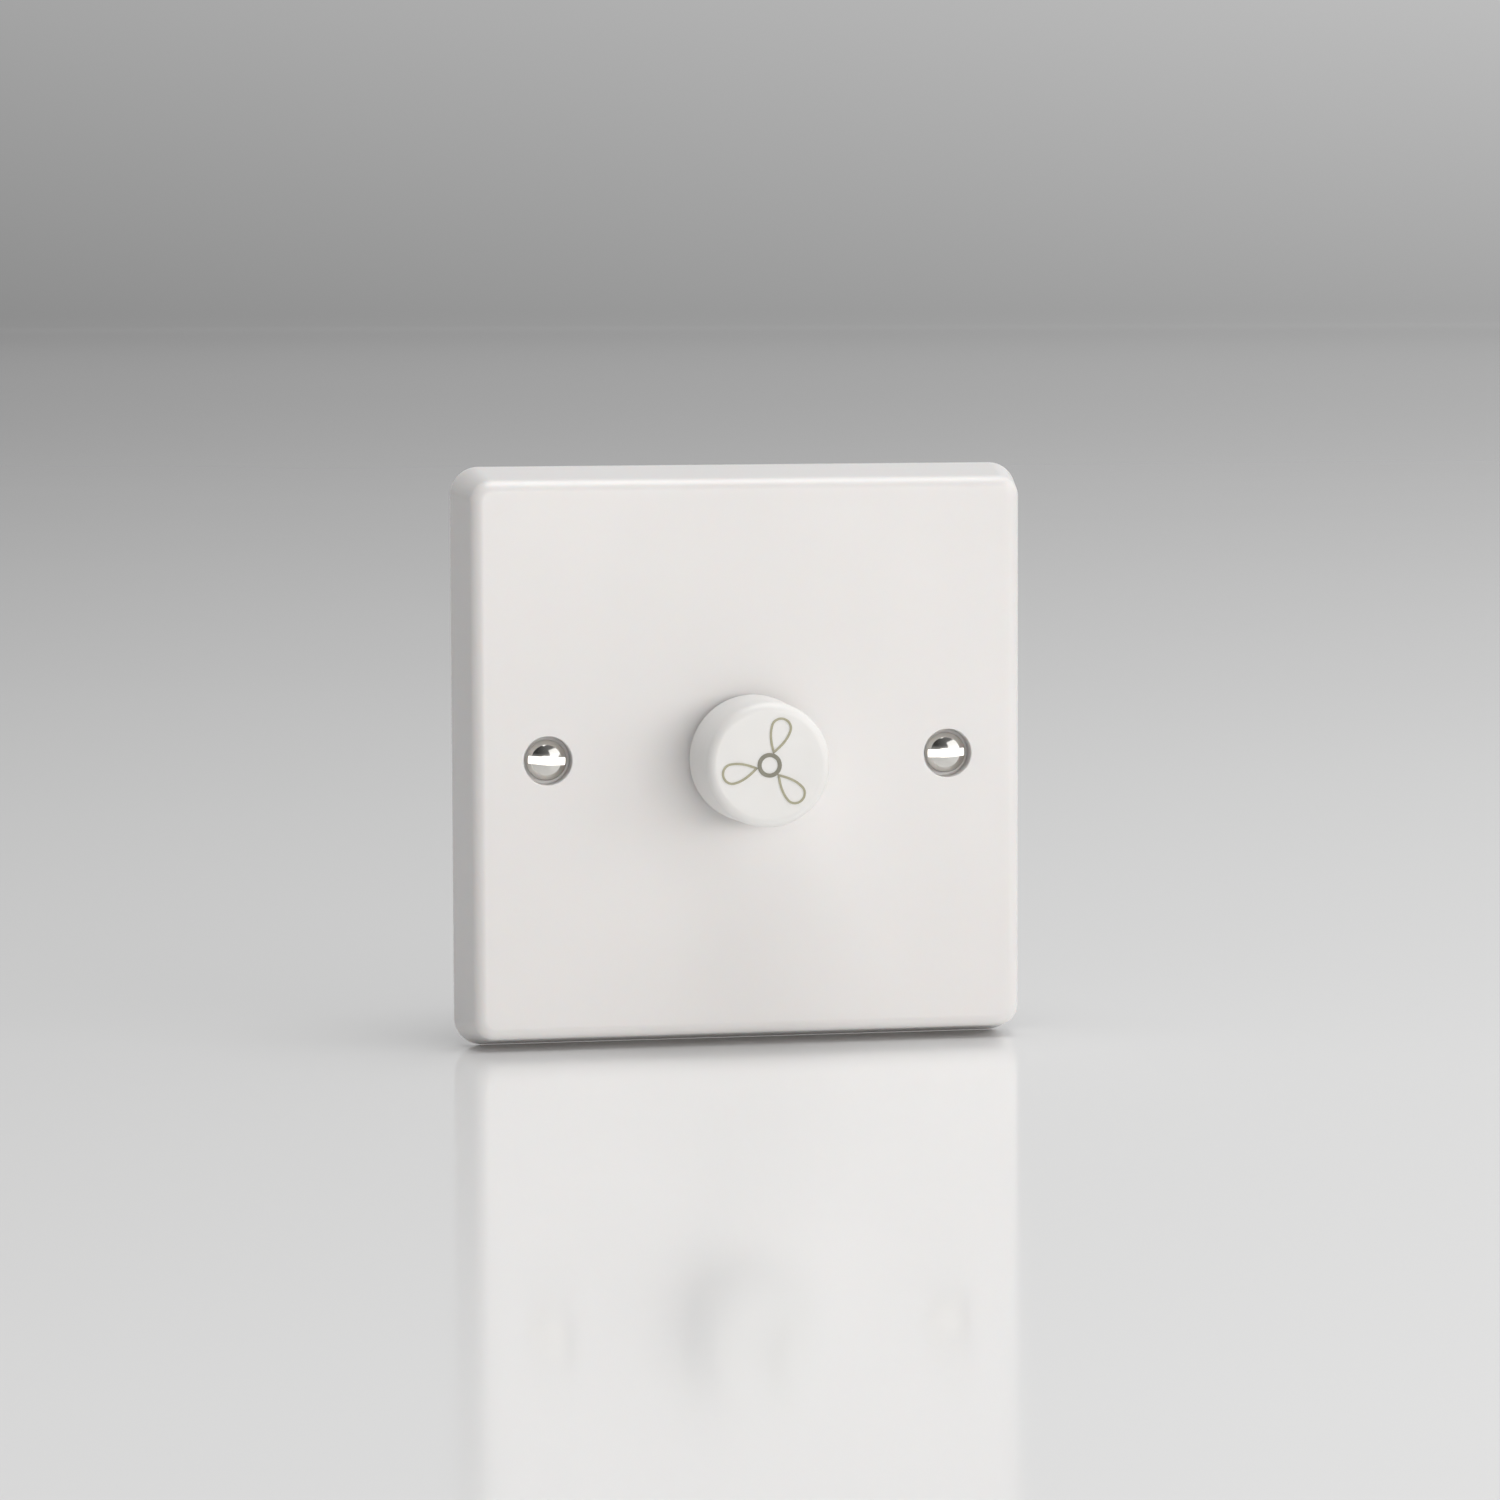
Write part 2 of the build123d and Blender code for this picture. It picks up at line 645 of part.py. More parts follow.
def moving_contact():
    """Brass bridge with a silver-faced rivet at each end."""
    bridge = block(about(0, 2 * BRIDGE_HALF), (BRIDGE_FRONT, BRIDGE_BACK), about(0, CONTACT_W))
    bridge = ring_cut(bridge, STEM_R, BRIDGE_FRONT, BRIDGE_BACK)
    for side in (-1, 1):
        bridge = bridge + disc(RIVET_R, BRIDGE_BACK, BRIDGE_BACK + RIVET_T, side * CONTACT_X)
    return bridge


def return_spring():
    """Coil between the bridge and the cover, which pushes the spindle forward."""
    start = BRIDGE_BACK + SPRING_WIRE_R
    length = SWITCH_BACK - SPRING_WIRE_R - start
    path = Helix(length / SPRING_TURNS, length, SPRING_R)
    section = Plane(origin=path @ 0, z_dir=path % 0) * RegularPolygon(SPRING_WIRE_R, WIRE_SIDES)
    coil = sweep(section, path=path, is_frenet=True)
    return Pos(0, start, 0) * Rot(-90, 0, 0) * coil


def circuit_board():
    outline = Rectangle(BOARD_W, BOARD_H)
    for side in (-1, 1):
        for up in (-1, 1):
            corner = Pos(side * BOARD_W / 2, up * BOARD_H / 2)
            outline = outline - corner * Rectangle(2 * BOARD_NOTCH, 2 * BOARD_NOTCH)
    return slab(outline, BOARD_FRONT, BOARD_BACK)


def insulating_pad():
    x = (TAB_LEFT - PAD_BORDER, TRIAC_RIGHT + PAD_BORDER)
    pad = block(x, (HEATSINK_BACK, TAB_FRONT), about(TRIAC_Z, TRIAC_W + 2 * PAD_BORDER))
    return ring_cut(pad, TRIAC_HOLE_R, HEATSINK_BACK, TAB_FRONT, TRIAC_SCREW_X, TRIAC_Z)


def triac_tab():
    """Cooling tab, and the three legs bent back to the board."""
    tab = block((TAB_LEFT, TRIAC_RIGHT), (TAB_FRONT, TAB_BACK), about(TRIAC_Z, TRIAC_W))
    tab = ring_cut(tab, TRIAC_HOLE_R, TAB_FRONT, TAB_BACK, TRIAC_SCREW_X, TRIAC_Z)
    pieces = [tab]
    for i in (-1, 0, 1):
        z = about(TRIAC_Z + i * LEG_PITCH, LEG_W)
        run = block((TRIAC_RIGHT, LEG_X + LEG_T / 2), (LEG_FRONT, LEG_FRONT + LEG_T), z)
        drop = block(about(LEG_X, LEG_T), (LEG_FRONT, BOARD_FRONT), z)
        pieces.append(run + drop)
    return group(pieces)


def triac_body():
    y = (TAB_BACK, TAB_BACK + TRIAC_BODY_T)
    body = block((TRIAC_LEFT, TRIAC_RIGHT), y, about(TRIAC_Z, TRIAC_W))
    return chamfer(back_edges(body), TRIAC_CHAMFER)


def triac_screw():
    head_back = TAB_BACK + TRIAC_SCREW_HEAD_H
    head = disc(TRIAC_SCREW_HEAD_R, TAB_BACK, head_back, TRIAC_SCREW_X, TRIAC_Z)
    head = fillet(back_edges(head), TRIAC_SCREW_EDGE)
    slot_x = about(TRIAC_SCREW_X, 3 * TRIAC_SCREW_HEAD_R)
    head = head - block(slot_x, (head_back - DRIVER_SLOT, head_back), about(TRIAC_Z, DRIVER_SLOT))
    return head + disc(TRIAC_SCREW_R, WALL_BACK, TAB_BACK, TRIAC_SCREW_X, TRIAC_Z)


def choke_core():
    return Pos(CHOKE_X, CHOKE_Y, CHOKE_Z) * Rot(90, 0, 0) * Torus(CHOKE_R, CORE_R)


def choke_angle(i):
    """Place of turn i round the core, in degrees about Y."""
    return CHOKE_MIDDLE + (i - (CHOKE_TURNS - 1) / 2) * CHOKE_STEP


def choke_tails():
    """Where the winding's two tails reach the board, as x and z."""
    places = []
    for i in (0, CHOKE_TURNS - 1):
        angle = math.radians(choke_angle(i))
        places.append((CHOKE_X + CHOKE_R * math.cos(angle), CHOKE_Z - CHOKE_R * math.sin(angle)))
    return places


def choke_winding():
    """Turns of enamelled wire round the core, the end ones with a tail to the board."""
    section = RegularPolygon(LEAD_R, WIRE_SIDES, rotation=180 / WIRE_SIDES)
    wire = Plane.XZ * Pos(TURN_R, 0) * section
    loop = revolve(wire, Axis.Z)
    middle = Pos(CHOKE_X, CHOKE_Y, CHOKE_Z)
    turns = []
    for i in range(CHOKE_TURNS):
        turns.append(middle * Rot(0, choke_angle(i), 0) * Pos(CHOKE_R, 0, 0) * loop)
    for i, (x, z) in zip((0, -1), choke_tails()):
        turns[i] = turns[i] + disc(LEAD_R, CHOKE_Y + TURN_R, BOARD_FRONT, x, z)
    return group(turns)


def moulded_box(size, x, z):
    """Boxed component that stands on the board's front, with softened edges."""
    y = (BOARD_FRONT - size[1], BOARD_FRONT)
    box = block(about(x, size[0]), y, about(z, size[2]))
    return fillet(box.edges().filter_by(Axis.Y), CAPACITOR_EDGE)


def suppression_capacitor():
    return moulded_box(FILM_CAP, FILM_CAP_X, FILM_CAP_Z)


def timing_capacitor():
    return moulded_box(TIMING_CAP, TIMING_CAP_X, TIMING_CAP_Z)


def leaded(body_r, length, lead_r, span):
    """A round component along Z in one piece with its leads, which are bent towards +Y."""
    drop = body_r + COMPONENT_LIFT
    whole = Cylinder(body_r, length) + Cylinder(lead_r, span)
    for side in (-1, 1):
        whole = whole + Pos(0, 0, side * span / 2) * disc(lead_r, 0, drop)
    return Pos(0, BOARD_FRONT - drop, 0) * whole


def resistors():
    resistor = Rot(0, 90, 0) * leaded(RESISTOR_R, RESISTOR_LENGTH, LEAD_R, RESISTOR_SPAN)
    return group(Pos(RESISTOR_X, 0, z) * resistor for z in RESISTOR_ROWS)


def trigger_diode():
    return Pos(DIODE_X, 0, DIODE_Z) * leaded(DIODE_R, DIODE_LENGTH, DIODE_LEAD_R, DIODE_SPAN)


def fuse_cap_z(side):
    """Middle of the lower or upper fuse cap."""
    return FUSE_Z + side * (FUSE_LENGTH - FUSE_CAP_LENGTH) / 2


def fuse_tube():
    """Glass tube and the wire inside it."""
    length = FUSE_LENGTH - 2 * FUSE_CAP_END
    glass = Cylinder(FUSE_GLASS_R, length) - Cylinder(FUSE_GLASS_IN_R, length)
    wire = Cylinder(FUSE_WIRE_R, length)
    return group(Pos(FUSE_X, FUSE_Y, FUSE_Z) * piece for piece in (glass, wire))


def fuse_caps():
    caps = []
    for side in (-1, 1):
        cap = Cylinder(FUSE_R, FUSE_CAP_LENGTH)
        cap = cap - Pos(0, 0, -side * FUSE_CAP_END) * Cylinder(FUSE_GLASS_R, FUSE_CAP_LENGTH)
        caps.append(Pos(FUSE_X, FUSE_Y, fuse_cap_z(side)) * cap)
    return group(caps)


def fuse_clips():
    """Sprung cradles that grip the fuse's caps and stand on the board."""
    grip = Cylinder(FUSE_R + CLIP_GRIP_T, CLIP_WIDTH)
    grip = grip - Pos(0, -FUSE_R, 0) * Box(CLIP_GRIP_GAP, 2 * FUSE_R, CLIP_WIDTH)
    foot = block(about(0, CLIP_FOOT_W), (FUSE_R, BOARD_FRONT - FUSE_Y), about(0, CLIP_WIDTH))
    clip = grip + foot - Cylinder(FUSE_R, CLIP_WIDTH)
    return group(Pos(FUSE_X, FUSE_Y, fuse_cap_z(side)) * clip for side in (-1, 1))


def solder_joints():
    """Small cones on the board's back, one under each lead."""
    feet = choke_tails()
    feet += [(LEG_X, TRIAC_Z + i * LEG_PITCH) for i in (-1, 0, 1)]
    feet += [(i * TERMINAL_PITCH, TERMINAL_BEND - STRIP_T / 2) for i in (-1, 0, 1)]
    for side in (-1, 1):
        feet.append((side * (CONTACT_LEG_X + STRIP_T / 2), 0))
        feet.append((FILM_CAP_X, FILM_CAP_Z + side * FILM_CAP_LEAD))
        feet.append((TIMING_CAP_X + side * TIMING_CAP_LEAD, TIMING_CAP_Z))
        feet.append((DIODE_X, DIODE_Z + side * DIODE_SPAN / 2))
        feet.append((FUSE_X, fuse_cap_z(side)))
        feet += [(RESISTOR_X + side * RESISTOR_SPAN / 2, z) for z in RESISTOR_ROWS]
    cone = Rot(-90, 0, 0) * Cone(SOLDER_R, SOLDER_TIP_R, SOLDER_H)
    return group(Pos(x, BOARD_BACK + SOLDER_H / 2, z) * cone for x, z in feet)


def terminal_clamps():
    """Three blocks, each bored for a wire from below and for its screw from behind."""
    z = (CLAMP_LOW, CLAMP_LOW + CLAMP_H)
    clamps = []
    for x in CLAMP_X:
        clamp = block(about(x, CLAMP_W), (CLAMP_FRONT, CLAMP_BACK), z)
        clamp = chamfer(clamp.edges().filter_by(Axis.Z), CLAMP_CHAMFER)
        clamp = clamp - Pos(x, WIRE_Y, CLAMP_SCREW_Z) * Cylinder(WIRE_HOLE_R, CLAMP_H)
        clamp = ring_cut(clamp, CLAMP_SCREW_R, WIRE_Y, CLAMP_BACK, x, CLAMP_SCREW_Z)
        pin_z = (CLAMP_PIN_LOW, CLAMP_PIN_LOW + CLAMP_PIN)
        clamps.append(clamp + block(about(x, CLAMP_PIN), (BOARD_BACK, CLAMP_FRONT), pin_z))
    return group(clamps)


def terminal_screws():
    tip = WIRE_Y + WIRE_HOLE_R + 2 * PLAY
    head_back = CLAMP_BACK + CLAMP_SCREW_HEAD_H
    screws = []
    for x in CLAMP_X:
        head = disc(CLAMP_SCREW_HEAD_R, CLAMP_BACK, head_back, x, CLAMP_SCREW_Z)
        head = fillet(back_edges(head), CLAMP_SCREW_EDGE)
        slot_x = about(x, 3 * CLAMP_SCREW_HEAD_R)
        slot_y = (head_back - DRIVER_SLOT, head_back)
        head = head - block(slot_x, slot_y, about(CLAMP_SCREW_Z, DRIVER_SLOT))
        screws.append(head + disc(CLAMP_SCREW_R, tip, CLAMP_BACK, x, CLAMP_SCREW_Z))
    return group(screws)


def case_shell():
    """Two joined boxes with rounded corners, hollow and open at the front."""
    hump_h = HUMP_TOP + CASE_H / 2
    hump_z = (HUMP_TOP - CASE_H / 2) / 2
    outer = slab(RectangleRounded(CASE_W, CASE_H, CASE_CORNER), HEATSINK_BACK, CASE_BACK)
    hump = Pos(0, hump_z) * RectangleRounded(CASE_W, hump_h, CASE_CORNER)
    outer = outer + slab(hump, BOARD_FRONT, HUMP_BACK)
    inner_w = CASE_W - 2 * CASE_WALL
    inner = Rectangle(inner_w, CASE_H - 2 * CASE_WALL)
    hump_inner = Pos(0, hump_z) * Rectangle(inner_w, hump_h - 2 * CASE_WALL)
    outer = outer - slab(inner, HEATSINK_BACK, CASE_BACK - CASE_WALL)
    return outer - slab(hump_inner, BOARD_FRONT, HUMP_BACK - CASE_WALL)


def module_case():
    """Case with screw posts, ledges for the board, and partitions between the terminals."""
    case = case_shell()
    for x, z in corners():
        back = HUMP_BACK - CASE_WALL if z < 0 else CASE_BACK - CASE_WALL
        post_y = (HEATSINK_BACK, back + MERGE)
        web_x = (x, math.copysign(CASE_W / 2 - CASE_WALL + MERGE, x))
        case = case + disc(POST_R, *post_y, x, z) + block(web_x, post_y, about(z, POST_WEB_T))
        case = ring_cut(case, CASE_SCREW_R + PLAY, HEATSINK_BACK, PILOT_END, x, z)
    for side in (-1, 1):
        ledge_x = (side * LEDGE_X[0], side * LEDGE_X[1])
        ledge_y = (BOARD_BACK, CASE_BACK - CASE_WALL + MERGE)
        case = case + block(ledge_x, ledge_y, about(0, 2 * LEDGE_HALF))
        partition_x = about(side * CLAMP_PITCH / 2, PARTITION_T)
        partition_y = (BOARD_BACK + CLEAR, HUMP_BACK - CASE_WALL + MERGE)
        partition_z = (-CASE_H / 2 + CASE_WALL - MERGE, HUMP_TOP - CASE_WALL + MERGE)
        case = case + block(partition_x, partition_y, partition_z)
    for x in CLAMP_X:
        entry = Pos(x, WIRE_Y, -CASE_H / 2) * Cylinder(WIRE_ENTRY_R, 2 * CASE_WALL + OVERCUT)
        case = case - entry
        case = ring_cut(case, DRIVER_HOLE_R, HUMP_BACK - CASE_WALL, HUMP_BACK, x, CLAMP_SCREW_Z)
    for i in range(VENTS):
        vent = Pos(0, VENT_LOW + i * VENT_PITCH) * SlotOverall(*VENT)
        case = case - slab(vent, CASE_BACK - CASE_WALL, CASE_BACK)
    return case


def case_screws():
    """Countersunk screws through the heatsink plate into the case's posts."""
    head = Rot(-90, 0, 0) * Cone(CASE_SCREW_HEAD_R, CASE_SCREW_R, HEATSINK_T)
    screw = Pos(0, (WALL_BACK + HEATSINK_BACK) / 2, 0) * head
    screw = screw + disc(CASE_SCREW_R, HEATSINK_BACK, WALL_BACK + CASE_SCREW_LENGTH)
    for turn in (0, 90):
        screw = screw - Pos(0, WALL_BACK, 0) * Rot(0, turn, 0) * Box(CROSS[0], 2 * CROSS_DEPTH, CROSS[1])
    return group(Pos(x, 0, z) * screw for x, z in corners())


SUBPARTS = [
    front_plate,
    fixing_screws,
    knob,
    knob_spring,
    fan_symbol,
    spindle,
    retaining_clip,
    pot_bush,
    bush_nut,
    lock_washer,
    heatsink_plate,
    pot_housing,
    track_wafer,
    resistive_track,
    pot_terminals,
    wiper_rotor,
    wiper_contact,
    switch_base,
    switch_contacts,
    switch_cover,
    switch_plunger,
    moving_contact,
    return_spring,
    circuit_board,
    insulating_pad,
    triac_tab,
    triac_body,
    triac_screw,
    choke_core,
    choke_winding,
    suppression_capacitor,
    timing_capacitor,
    resistors,
    trigger_diode,
    fuse_tube,
    fuse_caps,
    fuse_clips,
    solder_joints,
    terminal_clamps,
    terminal_screws,
    module_case,
    case_screws,
]

os.makedirs("parts", exist_ok=True)
for subpart in SUBPARTS:
    export_step(subpart(), f"parts/{subpart.__name__}.step")
print(len(SUBPARTS), "sub-parts written")
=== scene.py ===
# %% [markdown]
# # A white rotary dimmer on a square wall plate
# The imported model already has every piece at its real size, so this lesson is about looks.
# Pieces that face the room are built again as meshes with soft edges, threads and turned faces,
# in exactly the same places. The others are cleaned copies of their solids with soft edges.

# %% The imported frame
import json
import math

import bmesh
import bpy
from mathutils import Matrix, Vector


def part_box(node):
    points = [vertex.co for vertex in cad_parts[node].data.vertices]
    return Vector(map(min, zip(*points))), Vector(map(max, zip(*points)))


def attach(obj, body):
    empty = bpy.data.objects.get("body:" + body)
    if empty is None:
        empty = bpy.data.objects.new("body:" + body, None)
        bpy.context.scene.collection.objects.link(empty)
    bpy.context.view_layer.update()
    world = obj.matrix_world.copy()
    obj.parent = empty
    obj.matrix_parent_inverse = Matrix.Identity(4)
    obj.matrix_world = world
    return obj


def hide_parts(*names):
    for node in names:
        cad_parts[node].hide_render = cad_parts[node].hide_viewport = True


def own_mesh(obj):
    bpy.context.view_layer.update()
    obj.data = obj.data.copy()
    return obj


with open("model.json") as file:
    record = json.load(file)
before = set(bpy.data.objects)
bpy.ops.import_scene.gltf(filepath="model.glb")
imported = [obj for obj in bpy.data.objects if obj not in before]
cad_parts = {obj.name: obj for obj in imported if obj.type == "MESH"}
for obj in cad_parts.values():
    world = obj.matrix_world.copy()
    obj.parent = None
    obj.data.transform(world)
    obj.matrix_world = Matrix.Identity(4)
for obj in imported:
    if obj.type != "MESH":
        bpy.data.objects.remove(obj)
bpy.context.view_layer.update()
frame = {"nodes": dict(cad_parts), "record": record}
record = frame["record"]

# %% [markdown]
# Everything in Blender is in metres here, while a maker thinks in millimetres. One value, MM,
# turns a real size into scene units. Outlines are read from the frame's own boxes, so a dressed
# piece follows its solid. +Y goes into the wall, so depths in front of the wall are negative.

# %% Units and the driving sizes
MM = 0.001
TAU = 2 * math.pi

PLATE_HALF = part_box("front_plate")[1].x / MM
FACE_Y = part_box("front_plate")[0].y / MM
FLOOR_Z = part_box("front_plate")[0].z
KNOB_FACE_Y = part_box("knob")[0].y / MM
KNOB_REAR_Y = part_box("knob")[1].y / MM
KNOB_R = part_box("knob")[1].x / MM
SCREW_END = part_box("fixing_screws")[1].y / MM
SCREW_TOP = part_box("fixing_screws")[0].y / MM
print("plate", round(2 * PLATE_HALF, 2), "mm square and", round(-FACE_Y, 2), "mm deep")
print("knob", round(2 * KNOB_R, 2), "mm across and", round(KNOB_REAR_Y - KNOB_FACE_Y, 2), "mm deep")

# %% [markdown]
# A colour picked from a screen is sRGB, but a shader works in linear light. One function turns
# the hex code into the linear value, so that the code stays readable as a colour.

# %% Colours as hex codes


def hex_colour(code):
    """Linear RGBA from an sRGB hex code such as #E6E3E0."""
    channels = [int(code[i : i + 2], 16) / 255 for i in (1, 3, 5)]
    linear = [c / 12.92 if c <= 0.04045 else ((c + 0.055) / 1.055) ** 2.4 for c in channels]
    return (*linear, 1.0)


print("mid grey #808080 is", round(hex_colour("#808080")[0], 3), "in linear light")

# %% [markdown]
# Shader trees get long, so one small function adds any node, sets its sockets or options by
# name and joins its inputs. A new material starts from a Principled shader that reads Object
# coordinates: they are metres on the piece itself, so a 1 mm pattern is 1 mm everywhere.

# %% Adding shader nodes


def add(tree, kind, values=None, links=None):
    """A new node with its sockets or options set and its inputs linked."""
    node = tree.nodes.new(kind)
    for name, value in (values or {}).items():
        if isinstance(name, int) or name in node.inputs:
            node.inputs[name].default_value = value
        else:
            setattr(node, name, value)
    for name, source in (links or {}).items():
        tree.links.new(source, node.inputs[name])
    return node


def start_material(name, colour, **values):
    """An empty material with a Principled shader, and the coordinates to build patterns on."""
    material = bpy.data.materials.new(name)
    material.use_nodes = True
    tree = material.node_tree
    tree.nodes.clear()
    settings = {"Base Color": hex_colour(colour), **values}
    shader = add(tree, "ShaderNodeBsdfPrincipled", settings)
    add(tree, "ShaderNodeOutputMaterial", links={"Surface": shader.outputs["BSDF"]})
    where = add(tree, "ShaderNodeTexCoord").outputs["Object"]
    return material, tree, shader, where


def per_mm(size_mm):
    """Texture scale that gives features about size_mm across."""
    return 1 / (size_mm * MM)


print("a pattern of 2 mm has a scale of", round(per_mm(2.0)), "per metre")

# %% [markdown]
# Most finishes share three small effects: a slow drift of colour, a roughness that wanders in a
# narrow band, and a fine bump. Each is drawn by noise at a real size. Noise clusters round 0.5,
# so the ranges start well outside it: that keeps the change soft, with no blotches. Heights are
# given in micrometres, which UM turns into metres.

# %% Three effects that the finishes share
UM = 1e-6
DRIFT_LOW, DRIFT_HIGH = 0.2, 0.8
NOISE_LOW, NOISE_HIGH = 0.1, 0.9


def colour_drift(tree, shader, where, colour_a, colour_b, size_mm, detail=2.0):
    """The surface wanders between two close colours."""
    noise = add(
        tree,
        "ShaderNodeTexNoise",
        {"Scale": per_mm(size_mm), "Detail": detail},
        {"Vector": where},
    )
    ramp = add(tree, "ShaderNodeValToRGB", links={"Fac": noise.outputs["Fac"]})
    ramp.color_ramp.elements[0].position = DRIFT_LOW
    ramp.color_ramp.elements[0].color = hex_colour(colour_a)
    ramp.color_ramp.elements[1].position = DRIFT_HIGH
    ramp.color_ramp.elements[1].color = hex_colour(colour_b)
    tree.links.new(ramp.outputs["Color"], shader.inputs["Base Color"])
    return ramp


def wandering_roughness(tree, shader, where, low, high, size_mm):
    """Roughness that varies between two values, as handling and moulding leave it."""
    noise = add(
        tree,
        "ShaderNodeTexNoise",
        {"Scale": per_mm(size_mm), "Detail": 1.0},
        {"Vector": where},
    )
    spread = add(
        tree,
        "ShaderNodeMapRange",
        {"From Min": NOISE_LOW, "From Max": NOISE_HIGH, "To Min": low, "To Max": high},
        {"Value": noise.outputs["Fac"]},
    )
    tree.links.new(spread.outputs["Result"], shader.inputs["Roughness"])


def fine_bump(tree, shader, where, size_mm, height_um, detail=2.0):
    """A small relief of the given width and height."""
    relief = add(
        tree,
        "ShaderNodeTexNoise",
        {"Scale": per_mm(size_mm), "Detail": detail},
        {"Vector": where},
    )
    bump = add(
        tree,
        "ShaderNodeBump",
        {"Strength": 1.0, "Distance": height_um * UM},
        {"Height": relief.outputs["Fac"]},
    )
    tree.links.new(bump.outputs["Normal"], shader.inputs["Normal"])


print("noise from", NOISE_LOW, "to", NOISE_HIGH, "spreads each roughness")

# %% [markdown]
# The plate is urea-formaldehyde, pressed hot in a polished steel mould. That gives a dense,
# slightly warm white with a soft gloss and almost no texture. Light goes a little way into the
# filled resin and comes back warmer, which softens the shaded edges: a weak subsurface with a
# longer red radius does that. Its refractive index is near 1.55.

# %% Urea of the plate


def urea_white():
    """A dense warm white with a soft gloss."""
    material, tree, shader, where = start_material(
        "pressed urea white",
        "#EAE8E7",
        IOR=1.55,
        **{
            "Subsurface Weight": 0.2,
            "Subsurface Radius": (1.0, 0.6, 0.42),
            "Subsurface Scale": 1.6 * MM,
        },
    )
    colour_drift(tree, shader, where, "#E8E6E5", "#ECEAE9", size_mm=30)
    wandering_roughness(tree, shader, where, low=0.27, high=0.33, size_mm=9)
    fine_bump(tree, shader, where, size_mm=2.4, height_um=1.2)
    return material


finishes = {"urea_plate": urea_white()}
print("made", finishes["urea_plate"].name)

# %% [markdown]
# The knob is ABS, a shade cooler and more satin than the plate, because its mould is finely
# blasted so that fingers hold it. A grain of 0.12 mm is too fine to show at this distance, so
# it is drawn at 0.35 mm and kept very shallow.

# %% ABS of the knob


def abs_white():
    """A cooler white with a fine satin grain."""
    material, tree, shader, where = start_material(
        "satin ABS white",
        "#ECEBE9",
        IOR=1.54,
        **{
            "Subsurface Weight": 0.08,
            "Subsurface Radius": (1.0, 0.7, 0.55),
            "Subsurface Scale": 1.2 * MM,
        },
    )
    colour_drift(tree, shader, where, "#EAE9E7", "#EEEDEB", size_mm=8)
    wandering_roughness(tree, shader, where, low=0.34, high=0.42, size_mm=2.5)
    fine_bump(tree, shader, where, size_mm=0.35, height_um=1.4)
    return material


finishes["knob_abs"] = abs_white()
print("made", finishes["knob_abs"].name)

# %% [markdown]
# The pictogram is pad printed: a thin film of metallic olive-grey ink. The film carries tiny
# flakes, so it is partly metallic. The pad leaves more ink on the broad hub ring than on the fine
# lines of the blades, so the tone follows the distance from the knob's axis, with a small noise.

# %% Printing ink
HUB_MM, BLADE_MM = 1.8, 2.6
BLADE_SHARE, NOISE_SHARE = 0.7, 0.4


def printed_ink():
    """Ink that is darker on the hub ring than on the blades."""
    material, tree, shader, where = start_material(
        "olive grey printing ink", "#8C8977", Metallic=0.25
    )
    ramp = colour_drift(tree, shader, where, "#7E7C70", "#A09D86", size_mm=0.5, detail=4.0)
    noise = ramp.inputs["Fac"].links[0].from_socket
    in_face = add(tree, "ShaderNodeVectorMath", {"operation": "MULTIPLY", 1: (1, 0, 1)}, {0: where})
    reach = add(
        tree, "ShaderNodeVectorMath", {"operation": "LENGTH"}, {0: in_face.outputs["Vector"]}
    )
    hub_to_blade = add(
        tree,
        "ShaderNodeMapRange",
        {"From Min": HUB_MM * MM, "From Max": BLADE_MM * MM, "To Min": 0.0, "To Max": BLADE_SHARE},
        {"Value": reach.outputs["Value"]},
    )
    share = add(
        tree,
        "ShaderNodeMath",
        {"operation": "MULTIPLY_ADD", 1: NOISE_SHARE},
        {0: noise, 2: hub_to_blade.outputs["Result"]},
    )
    tree.links.new(share.outputs["Value"], ramp.inputs["Fac"])
    wandering_roughness(tree, shader, where, low=0.36, high=0.5, size_mm=0.4)
    fine_bump(tree, shader, where, size_mm=0.12, height_um=1.5)
    return material


finishes["symbol_print"] = printed_ink()
print("made", finishes["symbol_print"].name)

# %% [markdown]
# Plated parts share one recipe. The base metal is turned or pressed, then plated, so the tool
# marks show softly through a bright skin. A metal keeps the default IOR: its colour is the
# reflection itself, and the roughness decides between polished nickel and dull zinc. Each row
# gives the name, two close colours, the roughness range, the grain in mm and its height in um.

# %% Plated metals


def plated_metal(name, colour_a, colour_b, low, high, grain_mm=0.4, height_um=1.5):
    """A metal skin with soft tool marks."""
    material, tree, shader, where = start_material(name, colour_a, Metallic=1.0)
    colour_drift(tree, shader, where, colour_a, colour_b, 3 * grain_mm, detail=3.0)
    wandering_roughness(tree, shader, where, low, high, grain_mm)
    fine_bump(tree, shader, where, grain_mm, height_um)
    return material


plated = {
    "bright_screw": ("polished nickel plate", "#D6D4CF", "#DEDCD8", 0.08, 0.15, 0.4, 0.6),
    "zinc_steel": ("bright zinc plate", "#C3C6C8", "#CFD1D2", 0.2, 0.34),
    "die_cast_bush": ("nickel-plated die-cast zinc", "#B9BABB", "#C8C8C7", 0.22, 0.34),
    "terminal_brass": ("machined brass", "#D4AC62", "#E0BC76", 0.2, 0.34, 0.3, 2.5),
    "solder": ("wave-soldered tin", "#C9CACB", "#D7D8D8", 0.14, 0.3, 0.5, 5.0),
    "fuse_cap_nickel": ("nickel-plated caps", "#CFCDC6", "#DAD8D2", 0.14, 0.26),
}
for slot, look in plated.items():
    finishes[slot] = plated_metal(*look)
print("plated metals:", ", ".join(look[0] for look in plated.values()))

# %% [markdown]
# Sheet is rolled, wire and strip are drawn, and a spindle is turned. All of that leaves fine
# lines in one direction. A Mapping node squeezes the noise across the lines, so the same three
# effects draw streaks instead of spots. Its scale is larger across the lines than along them.

